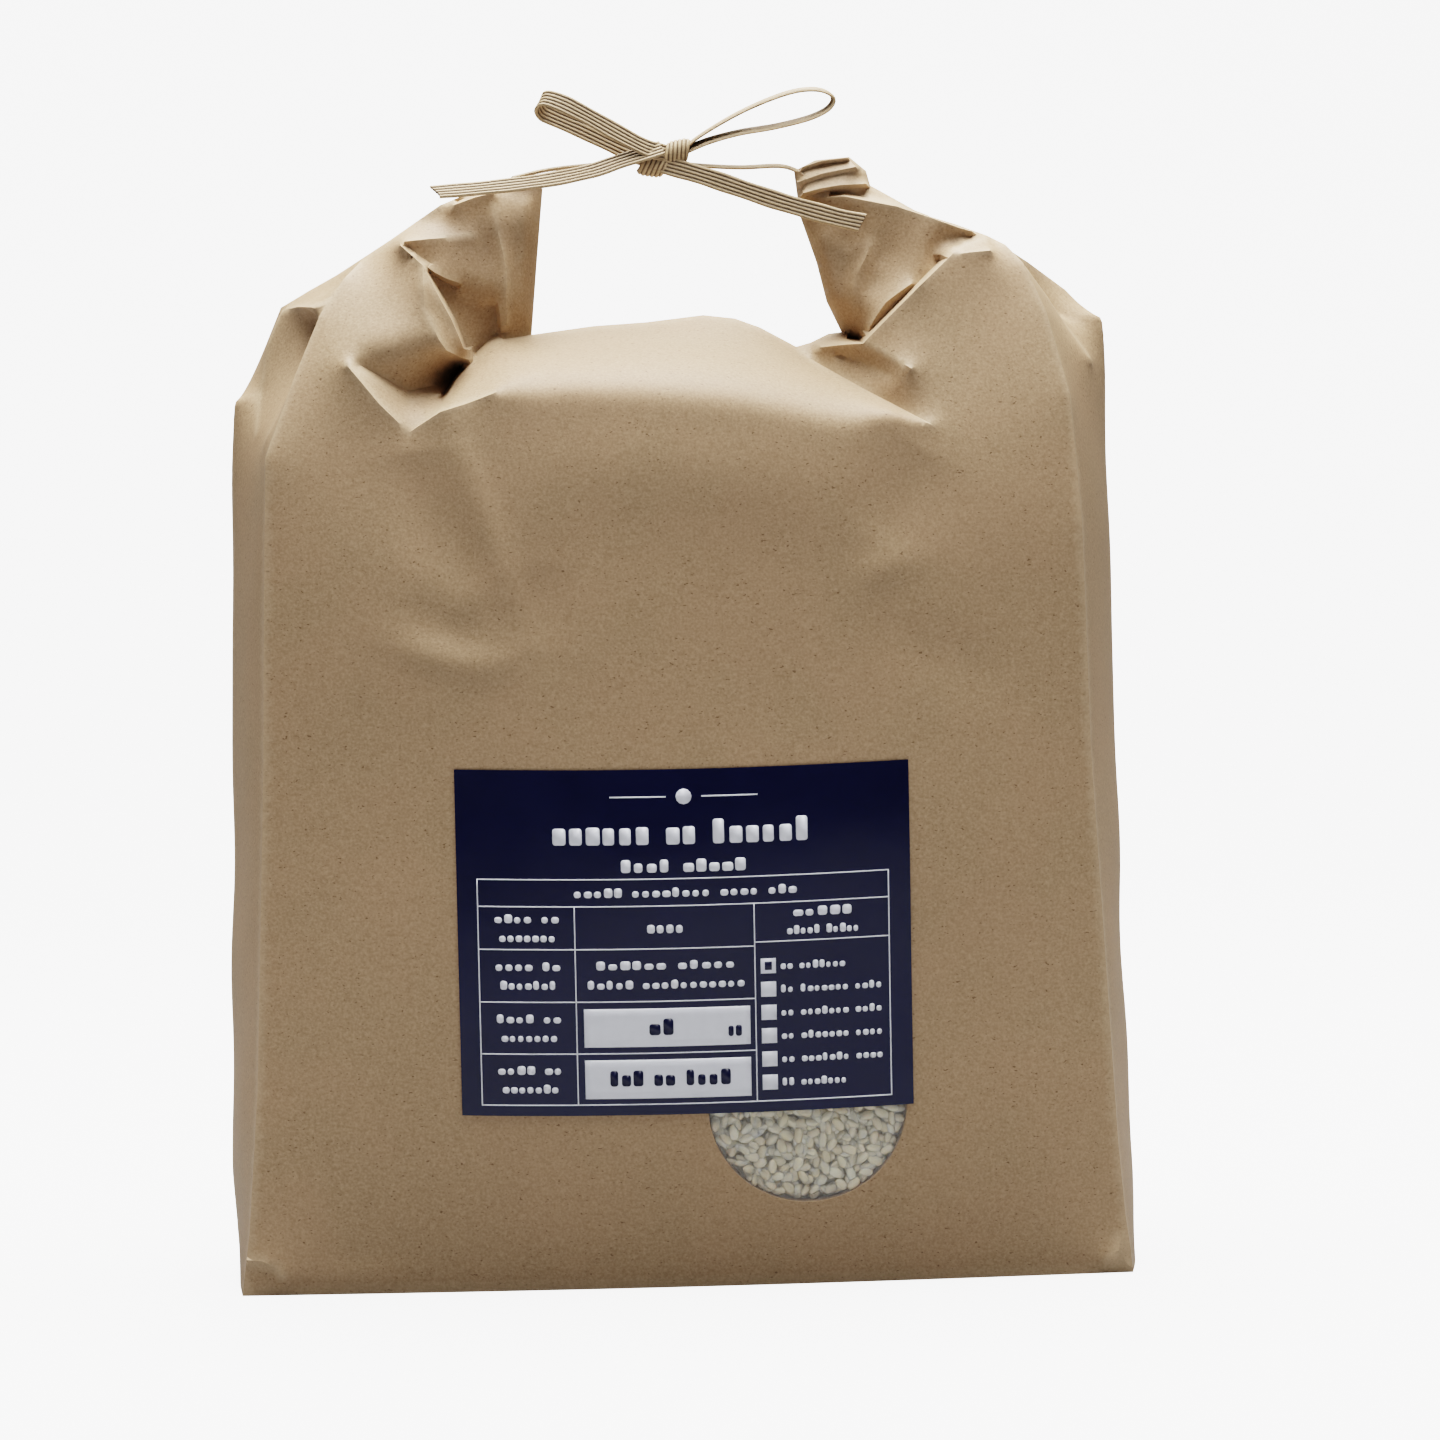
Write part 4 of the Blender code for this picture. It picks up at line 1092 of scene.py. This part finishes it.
def grain_shape():
    """A short rice grain of unit size along Z, with a blunt end and a germ notch."""
    rings, sides = 9, 12
    points, faces = [(0, 0, 0.5)], []
    for r in range(1, rings):
        turn = math.pi * r / rings
        z = 0.5 * math.cos(turn)
        width = 0.5 * math.sin(turn) ** 0.78 * (1.0 + 0.1 * math.cos(turn))
        for s in range(sides):
            side = 2 * math.pi * s / sides
            notch = 0.1 * math.exp(-(((z + 0.4) / 0.09) ** 2)) * max(0, math.cos(side)) ** 2
            points.append((width * math.cos(side) - notch * 0.5, width * math.sin(side), z))
    points.append((0, 0, -0.5))
    last = len(points) - 1
    for s in range(sides):
        after = (s + 1) % sides
        faces.append((0, 1 + s, 1 + after))
        faces.append((last, last - sides + after, last - sides + s))
        for r in range(rings - 2):
            a = 1 + r * sides
            faces.append((a + s, a + sides + s, a + sides + after, a + after))
    return np.array(points), faces


class RICEBAG_OT_rice(Operator):
    """Fills the window with loose grains over a rough bed of rice."""

    bl_idname = "ricebag.rice"
    bl_label = "Rice"

    def execute(self, context):
        settings = context.scene.rice_bag.rice
        look = rice_material(settings)
        draw = random.Random(settings.seed)
        shape, shape_faces = grain_shape()
        points, faces, chalks = [], [], []
        length, width = settings.grain_length / MM, settings.grain_width / MM
        taken = []
        for lift, apart in RICE_LAYERS:
            layer = []
            for _ in range(RICE_TRIES):
                px = WINDOW_X + draw.uniform(-1, 1) * DISC_RADIUS
                pz = WINDOW_Z + draw.uniform(-1, 1) * DISC_RADIUS
                if pz > LABEL_BOTTOM + RICE_ABOVE_EDGE:
                    continue
                if math.hypot(px - WINDOW_X, pz - WINDOW_Z) > DISC_RADIUS - 1:
                    continue
                if any((px - x) ** 2 + (pz - z) ** 2 < apart**2 for x, z in layer):
                    continue
                size = draw.uniform(*RICE_SIZES)
                spin = Matrix.Rotation(draw.uniform(0, math.pi), 3, "Y")
                spin = spin @ Matrix.Rotation(draw.gauss(0, RICE_TILT), 3, "X")
                spin = spin @ Matrix.Rotation(draw.uniform(0, 2 * math.pi), 3, "Z")
                scale = np.array([width * RICE_FLATNESS, width, length]) * size
                placed = (shape * scale) @ np.array(spin).T
                reach = np.hypot(placed[:, 0] + px - WINDOW_X, placed[:, 2] + pz - WINDOW_Z)
                if reach.max() > DISC_RADIUS - 0.1:
                    continue
                layer.append((px, pz))
                taken.append((px, pz, lift, placed))
        for px, pz, lift, placed in taken:
            behind = front_spot(px, pz).y + FILM_DEPTH + FILM_THICKNESS + RICE_GAP + lift
            depth = behind - placed[:, 1].min() + draw.uniform(0, RICE_LOOSENESS)
            first = len(points)
            points += list(placed + np.array([px, depth, pz]))
            faces += [tuple(i + first for i in f) for f in shape_faces]
            chalk = draw.gauss(CHALK_MIDDLE, CHALK_SPREAD)
            chalks += [min(1.0, max(CHALK_LEAST, chalk))] * len(shape)
        grains = mesh_object("rice_grains", points, faces, look)
        point_values(grains, "chalk", chalks)
        place(grains, "rice_grains", "rice")
        bed = disc_mesh("rice_bed", DISC_RADIUS, BED_DEPTH, BED_THICKNESS, look, BED_RELIEF)
        place(bed, "rice_grains", "rice")
        return {"FINISHED"}


class RICEBAG_OT_film(Operator):
    """Closes the window with thin clear film."""

    bl_idname = "ricebag.film"
    bl_label = "Window Film"

    def execute(self, context):
        film = disc_mesh("clear_window", DISC_RADIUS, FILM_DEPTH, FILM_THICKNESS, film_material())
        place(film, "clear_film", "window_film")
        return {"FINISHED"}


# The label's print: places of its ruled table, its two pale fields and the small check squares
TABLE_LEFT, TABLE_RIGHT = -69.3, 70.0
TABLE_ROWS = (142.8, 133.6, 119.0, 101.0, 83.2, 65.6)
COLUMN_ONE, COLUMN_TWO = -36.7, 24.1
HEADER_BOTTOM = 120.3
RULE = 0.42
FIELD_LEFT, FIELD_RIGHT = -34.2, 22.2
FIELDS = ((85.4, 98.6), (67.6, 81.0))
CHECK_LEFT, CHECK_SIZE = 26.0, 5.2
CHECK_TOP, CHECK_PITCH, CHECK_COUNT = 114.6, 8.0, 6

# Lines of plain blocks: left and right ends, middle height, height, and the blocks in each word
PALE_LINES = (
    (-12.5, 0.5, 126.3, 4.0, (4,)), (-30.0, 18.0, 113.4, 3.0, (6, 5)), (-33.0, 21.0, 106.8, 3.0, (5, 11)),
    (37.0, 58.0, 130.2, 3.2, (5,)), (35.0, 60.0, 124.0, 3.0, (5, 5)),
    (-37.0, 39.0, 138.2, 3.2, (5, 8, 4, 3)), (-44.0, 44.0, 158.6, 8.4, (6, 2, 6)),
    (-21.0, 22.0, 147.2, 4.4, (4, 5)),
)
DARK_LINES = (
    (-12.5, -3.0, 92.2, 5.6, (2,)), (14.5, 19.5, 91.0, 5.2, (2,)), (-26.0, 15.5, 74.6, 5.4, (3, 2, 4)),
)


def label_spot(x, z, rise):
    """A place on the label's face."""
    sag = LABEL_SAG * (1 - (2 * (x - LABEL_LEFT) / (LABEL_RIGHT - LABEL_LEFT) - 1) ** 2)
    low = z - sag
    return (x, front_spot(x, low).y - LABEL_GAP - LABEL_THICKNESS - rise, low)


def draped_patch(points, faces, x1, z1, x2, z2, rise=PRINT_RISE):
    """Adds a rectangle of print that follows the label, so far before its face."""
    columns = max(1, int(abs(x2 - x1) / INK_STEP))
    rows = max(1, int(abs(z2 - z1) / INK_STEP))
    first = len(points)
    for r in range(rows + 1):
        z = z1 + (z2 - z1) * r / rows
        for c in range(columns + 1):
            x = x1 + (x2 - x1) * c / columns
            points.append(label_spot(x, z, rise))
    for r in range(rows):
        for c in range(columns):
            a = first + r * (columns + 1) + c
            faces.append((a, a + 1, a + columns + 2, a + columns + 1))


def words(points, faces, draw, left, right, middle, height, counts, rise=PRINT_RISE):
    """Adds a line of plain upright blocks that stand for words; counts are the blocks in each word."""
    step = (right - left) / (sum(counts) + 0.8 * (len(counts) - 1))
    x = left
    for count in counts:
        for _ in range(count):
            tall = height * draw.choice((0.68, 0.68, 0.72, 1.0))
            low = middle - height / 2
            corner = min(0.3 * step, 0.9)
            end = x + step * draw.uniform(0.72, 0.94)
            pill(points, faces, x + step * 0.08, low, end, low + tall, corner, rise)
            x += step
        x += 0.8 * step


def pill(points, faces, x1, z1, x2, z2, corner, rise=PRINT_RISE):
    """Adds a small block of print with round corners."""
    first = len(points)
    for x, z, turn in ((x2, z2, 0), (x1, z2, 1), (x1, z1, 2), (x2, z1, 3)):
        for s in range(4):
            angle = math.pi / 2 * (turn + s / 3)
            round_x = x + corner * (math.cos(angle) - (1 if turn in (0, 3) else -1))
            round_z = z + corner * (math.sin(angle) - (1 if turn in (0, 1) else -1))
            points.append(label_spot(round_x, round_z, rise))
    faces.append(tuple(range(first, len(points))))


class RICEBAG_OT_label(Operator):
    """Lays the printed label on the front, with its ruled table and plain blocks for words."""

    bl_idname = "ricebag.label"
    bl_label = "Label"

    def execute(self, context):
        settings = context.scene.rice_bag.label
        columns, rows = LABEL_COLUMNS, LABEL_ROWS
        points, faces = [], []
        for gap in (LABEL_GAP + LABEL_THICKNESS, LABEL_GAP):
            for r in range(rows + 1):
                for c in range(columns + 1):
                    x = LABEL_LEFT + (LABEL_RIGHT - LABEL_LEFT) * c / columns
                    z = LABEL_BOTTOM + (LABEL_TOP - LABEL_BOTTOM) * r / rows
                    spot = label_spot(x, z, 0.0)
                    points.append((spot[0], spot[1] + LABEL_GAP + LABEL_THICKNESS - gap, spot[2]))
        width = columns + 1
        layer = width * (rows + 1)
        for r in range(rows):
            for c in range(columns):
                a = r * width + c
                quad = (a, a + 1, a + width + 1, a + width)
                faces.append(quad)
                faces.append(tuple(i + layer for i in quad[::-1]))
        border = list(range(width)) + [r * width + columns for r in range(1, rows + 1)]
        border += [rows * width + c for c in range(columns - 1, -1, -1)]
        border += [r * width for r in range(rows - 1, 0, -1)]
        for a, b in zip(border, border[1:] + border[:1]):
            faces.append((a, b, b + layer, a + layer))
        sheet = mesh_object("label_sheet", points, faces, label_material(settings), sharp=40)
        place(sheet, "label_print", "label")

        points, faces = [], []
        half = RULE / 2
        for z in TABLE_ROWS:
            right = TABLE_RIGHT if z in (TABLE_ROWS[0], TABLE_ROWS[1], TABLE_ROWS[-1]) else COLUMN_TWO
            draped_patch(points, faces, TABLE_LEFT - half, z - half, right + half, z + half)
        draped_patch(
            points, faces, COLUMN_TWO, HEADER_BOTTOM - half, TABLE_RIGHT + half, HEADER_BOTTOM + half
        )
        for x, top in (
            (TABLE_LEFT, TABLE_ROWS[0]), (TABLE_RIGHT, TABLE_ROWS[0]), (COLUMN_ONE, TABLE_ROWS[1]),
            (COLUMN_TWO, TABLE_ROWS[1]),
        ):
            draped_patch(points, faces, x - half, TABLE_ROWS[-1], x + half, top)
        for bottom, top in FIELDS:
            draped_patch(points, faces, FIELD_LEFT, bottom, FIELD_RIGHT, top)
        draw = random.Random(5)
        for i in range(CHECK_COUNT):
            top = CHECK_TOP - i * CHECK_PITCH
            draped_patch(points, faces, CHECK_LEFT, top - CHECK_SIZE, CHECK_LEFT + CHECK_SIZE, top)
            right, counts = (67.5, (2, 7, 4)) if 0 < i < CHECK_COUNT - 1 else (55.0, (2, 7))
            words(points, faces, draw, 32.6, right, top - CHECK_SIZE / 2, 2.7, counts)
        for top, bottom in zip(TABLE_ROWS[1:], TABLE_ROWS[2:]):
            middle = (top + bottom) / 2
            words(points, faces, draw, -64.0, -41.5, middle + 3.2, 3.0, (4, 2))
            words(points, faces, draw, -62.5, -43.0, middle - 3.2, 3.0, (7,))
        for line in PALE_LINES:
            words(points, faces, draw, *line)
        for left, right in ((-24.0, -5.0), (7.0, 26.0)):
            draped_patch(points, faces, left, 170.3, right, 170.8)
        pill(points, faces, -1.7, 167.9, 3.7, 173.2, 2.6)
        pale = len(points)
        for line in DARK_LINES:
            words(points, faces, draw, *line, DARK_RISE)
        draped_patch(points, faces, 27.4, 110.6, 29.8, 113.4, DARK_RISE)
        ink = mesh_object("label_ink", points, faces, print_material(settings), turn_out=False)
        point_values(ink, "dark", [0.0] * pale + [1.0] * (len(points) - pale))
        depth = ink.modifiers.new("ink_depth", "SOLIDIFY")
        depth.thickness = INK_THICKNESS * MM
        depth.offset = -1.0
        place(ink, "label_print", "label")
        return {"FINISHED"}


# The string's runs: key points, which way its width points at the start and at the end, and the
# slant of the cut at its end
STRING_RUNS = {
    "left_run": (
        ((1.7, 1, 386.7), (-11.5, 2, 385.7), (-25.4, 3, 384.9), (-40, 3, 383.5), (-52.5, 1.5, 380.8)),
        (0, 1, 0), (0, 1, 0), 0.0,
    ),
    "right_run": (
        ((1.7, 1, 386.1), (9.6, 1, 384.3), (26.3, 1, 383.1), (40.5, 1, 383.3), (47.5, 1, 381.1),
         (51.6, 1, 379.6)),
        (0, 1, 0.15), (0, 1, 0.15), 0.0,
    ),
    "left_tail": (
        ((-0.4, -3, 390), (-14.8, -5, 385.6), (-25.8, -7, 382.1), (-42.2, -10, 379),
         (-62.7, -12.5, 376.8), (-78.5, -13.5, 375.7)),
        (0.1, 0.7, 1), (0.1, 1, 1), 0.6,
    ),
    "right_tail": (
        ((-0.5, -3, 384.5), (15.4, -5, 379.4), (38.7, -9, 370.9), (57.3, -13, 365), (67.7, -15, 362.4)),
        (0.3, 0.1, 1), (0.3, 0.1, 1), 0.25,
    ),
    "left_loop": (
        ((0.7, -2, 388.2), (-7.9, -4, 391.1), (-27.4, -5, 402.1), (-35.3, -4.5, 406.2), (-40.5, -2.5, 407.8),
         (-42.4, 0, 406), (-41.3, 2.5, 403.6), (-38, 3.5, 401.8), (-27.6, 4, 397.2),
         (-14.9, 3.5, 390.9), (-3.9, 2, 386)),
        (0.45, 0.45, 0.8), (0.45, 0.1, 0.88), 0.0,
    ),
    "right_loop": (
        ((7.3, 0, 389.3), (12.9, 0, 394.1), (27.9, 0, 402.4), (43.4, 0, 408.3), (53.5, 0, 409.4),
         (59, 0, 407), (58.1, 0, 403.3), (51.6, 0, 399.9), (39.6, 0, 397), (26.5, 0, 395),
         (15.7, 0, 392.3), (7.3, 0, 389)),
        (0, 1, 0.08), (-0.15, 1, 0.34), 0.0,
    ),
}
KNOT_TURNS = (
    # its middle, axis, length, radius and number of ribs
    ((4.8, -1, 388.6), (1, 0, 0.2), 9.0, 4.3, 6),
    ((-3.3, -1, 383.8), (1, 0, -0.15), 9.4, 3.8, 6),
)
WINDING_LEAN = 1.1
WINDING_SIDES = 28
STATIONS_PER_RIB = 6
STEPS_PER_RIB = 4
# How much painted groove shade each step across a rib gets
GROOVE_AT_STEP = (1.0, 0.5, 0.0, 0.5)
EDGE_RISE, RIB_RISE = 0.24, 0.26


def band_section(ribs):
    """The outline across a flat band of ribs: place across, height from the middle and how much painted
    groove shade it gets.
    """
    steps = ribs * STEPS_PER_RIB
    front = []
    for i in range(steps + 1):
        in_rib = i % STEPS_PER_RIB
        bulge = math.sin(math.pi * in_rib / STEPS_PER_RIB) ** 0.6
        edge = i in (0, steps)
        rise = 0.0 if edge else EDGE_RISE + RIB_RISE * bulge
        front.append((i / steps - 0.5, rise, 0.0 if edge else GROOVE_AT_STEP[in_rib]))
    return front + [(across, -rise, groove) for across, rise, groove in front[-2:0:-1]]


def ribbed_band(points, faces, grooves, keys, wide_start, wide_end, cut, settings):
    """Adds one run of flat ribbed string along a smooth curve, its end cut at a slant."""
    path = [Vector(p) for p in curved(keys, 1.0)]
    section = band_section(settings.ribs)
    width, thickness = settings.width / MM, settings.thickness / MM
    count = len(section)
    first = len(points)
    for i, p in enumerate(path):
        t = i / (len(path) - 1)
        way = (path[min(i + 1, len(path) - 1)] - path[max(i - 1, 0)]).normalized()
        wide = Vector(wide_start).lerp(Vector(wide_end), t)
        face = way.cross(wide).normalized()
        side = face.cross(way).normalized()
        swell = 1 + 0.03 * math.sin(i * 0.37 + keys[0][0])
        for across, out, groove in section:
            slant = across * width * cut if i == len(path) - 1 else 0.0
            points.append(p + side * across * width * swell + face * out * thickness + way * slant)
            grooves.append(groove)
    for i in range(len(path) - 1):
        a = first + i * count
        for k in range(count):
            b = (k + 1) % count
            faces.append((a + k, a + b, a + count + b, a + count + k))
    last = first + (len(path) - 1) * count
    faces.append(tuple(first + k for k in range(count))[::-1])
    faces.append(tuple(last + k for k in range(count)))


def knot_turn(points, faces, grooves, middle, axis, length, radius, ribs):
    """Adds a drum of wound string: ribs round an axis, drawn in at both ends."""
    turned = Vector(axis).to_track_quat("Z", "Y").to_matrix()
    stations, sides = ribs * STATIONS_PER_RIB, WINDING_SIDES
    first = len(points)
    for i in range(stations + 1):
        t = i / stations
        bulge = abs(math.sin(math.pi * t * ribs))
        shape = 1 - abs(2 * t - 1) ** 5 * 0.35
        for s in range(sides):
            turn = 2 * math.pi * s / sides
            r = radius * shape * (0.88 + 0.12 * bulge ** 0.6)
            flat = 0.88 if abs(math.cos(turn)) > 0.5 else 1.0
            lean = (t - 0.5) * length + WINDING_LEAN * math.sin(turn)
            local = Vector((r * math.cos(turn) * flat, r * math.sin(turn), lean))
            points.append(turned @ local + Vector(middle))
            # Painted shade in the grooves between the wound ribs
            grooves.append(max(0.0, 0.85 - bulge) * 1.1)
    for i in range(stations):
        for s in range(sides):
            after = (s + 1) % sides
            a = first + i * sides
            faces.append((a + s, a + after, a + sides + after, a + sides + s))
    faces.append(tuple(first + s for s in range(sides))[::-1])
    faces.append(tuple(first + stations * sides + s for s in range(sides)))


class RICEBAG_OT_string(Operator):
    """Ties the ribbed paper string: the run between the ears, the knot, the bow and its tails."""

    bl_idname = "ricebag.string"
    bl_label = "Tied String"

    def execute(self, context):
        settings = context.scene.rice_bag.string
        points, faces, grooves = [], [], []
        for keys, wide_start, wide_end, cut in STRING_RUNS.values():
            ribbed_band(points, faces, grooves, keys, wide_start, wide_end, cut, settings)
        for turn in KNOT_TURNS:
            knot_turn(points, faces, grooves, *turn)
        string = mesh_object("tied_string", points, faces, string_material(settings), sharp=60)
        point_values(string, "groove", grooves)
        place(string, "paper_string", "string")
        return {"FINISHED"}


def camera_axes():
    """The right, up and back ways of the camera."""
    a, e, r = (math.radians(v) for v in (CAMERA_AZIMUTH, CAMERA_ELEVATION, CAMERA_ROLL))
    back = Vector((math.sin(a) * math.cos(e), -math.cos(a) * math.cos(e), math.sin(e)))
    right = Vector((math.cos(a), math.sin(a), 0.0))
    up = back.cross(right)
    return right * math.cos(r) - up * math.sin(r), up * math.cos(r) + right * math.sin(r), back


def area_light(name, place_at, aim, size, power):
    """A soft square light, its place, aim and size in metres."""
    data = bpy.data.lights.new(name, "AREA")
    data.size = size
    data.energy = power
    light = bpy.data.objects.new(name, data)
    light.location = place_at
    light.rotation_euler = (Vector(aim) - Vector(place_at)).to_track_quat("-Z", "Y").to_euler()
    bpy.context.scene.collection.objects.link(light)


class RICEBAG_OT_stage(Operator):
    """Sets the camera, the pale backdrop and the soft studio light."""

    bl_idname = "ricebag.stage"
    bl_label = "Stage"

    def execute(self, context):
        scene = context.scene
        right, up, back = camera_axes()
        data = bpy.data.cameras.new("photo_camera")
        data.sensor_width = SENSOR
        data.lens = SENSOR * CAMERA_DISTANCE / (PHOTO_SIZE * MM_PER_PIXEL)
        data.clip_start = CLIP_FROM
        data.clip_end = CLIP_TO
        camera = bpy.data.objects.new("photo_camera", data)
        place_at = (Vector(CAMERA_AIM) + back * CAMERA_DISTANCE) * MM
        camera.matrix_world = Matrix.Translation(place_at) @ Matrix((right, up, back)).transposed().to_4x4()
        scene.collection.objects.link(camera)
        scene.camera = camera

        profile = [(BACKDROP_FRONT, 0.0), (BACKDROP_BEND, 0.0)]
        for turn in np.linspace(0.1, math.pi / 2, 14):
            profile.append((
                BACKDROP_BEND + BACKDROP_RADIUS * math.sin(turn), BACKDROP_RADIUS * (1 - math.cos(turn))
            ))
        profile.append((BACKDROP_BEND + BACKDROP_RADIUS, BACKDROP_TOP))
        points, faces = [], []
        for y, z in profile:
            points += [(side * BACKDROP_HALF_WIDTH, y, z - BACKDROP_DROP) for side in (-1, 1)]
        for i in range(len(profile) - 1):
            faces.append((2 * i, 2 * i + 1, 2 * i + 3, 2 * i + 2))
        mesh_object("backdrop", points, faces, stage_material(), turn_out=False)

        for name, light in LIGHTS.items():
            area_light(name, *light)
        world = bpy.data.worlds.new("studio")
        world.use_nodes = True
        tree = world.node_tree
        seen = tree.nodes.new("ShaderNodeLightPath")
        strength = add(tree, "ShaderNodeMapRange", {"To Min": WORLD_LIGHT, "To Max": WORLD_SEEN})
        ground = tree.nodes["Background"]
        ground.inputs["Color"].default_value = (1, 1, 1, 1)
        wire(tree, (seen, "Is Camera Ray", strength, "Value"), (strength, "Result", ground, "Strength"))
        scene.world = world
        scene.view_settings.view_transform = "Filmic"
        scene.view_settings.look = "High Contrast"
        scene.view_settings.exposure = EXPOSURE
        return {"FINISHED"}


class RICEBAG_PT_panel(Panel):
    """Lists the rice bag's settings and its pieces."""

    bl_idname = "RICEBAG_PT_panel"
    bl_label = "Rice Bag"
    bl_space_type = "VIEW_3D"
    bl_region_type = "UI"
    bl_category = "Rice Bag"

    def draw(self, context):
        settings = context.scene.rice_bag
        for title in ("paper", "rice", "label", "string"):
            group = getattr(settings, title)
            box = self.layout.box()
            box.label(text=title.capitalize())
            for name in group.__annotations__:
                box.prop(group, name)
        for operator in OPERATORS:
            self.layout.operator(operator.bl_idname)


OPERATORS = (
    RICEBAG_OT_paper, RICEBAG_OT_rice, RICEBAG_OT_film, RICEBAG_OT_label, RICEBAG_OT_string, RICEBAG_OT_stage,
)
CLASSES = (
    RiceBagPaper, RiceBagRice, RiceBagLabel, RiceBagString, RiceBagSettings, *OPERATORS, RICEBAG_PT_panel,
)


def register():
    """Registers the classes and the settings."""
    for item in CLASSES:
        bpy.utils.register_class(item)
    bpy.types.Scene.rice_bag = PointerProperty(type=RiceBagSettings)


def unregister():
    """Takes the settings and the classes away again."""
    del bpy.types.Scene.rice_bag
    for item in reversed(CLASSES):
        bpy.utils.unregister_class(item)


def main():
    """Builds every piece in order."""
    register()
    bpy.ops.ricebag.stage()
    bpy.ops.ricebag.paper()
    bpy.ops.ricebag.rice()
    bpy.ops.ricebag.film()
    bpy.ops.ricebag.label()
    bpy.ops.ricebag.string()


if __name__ == "__main__":
    main()
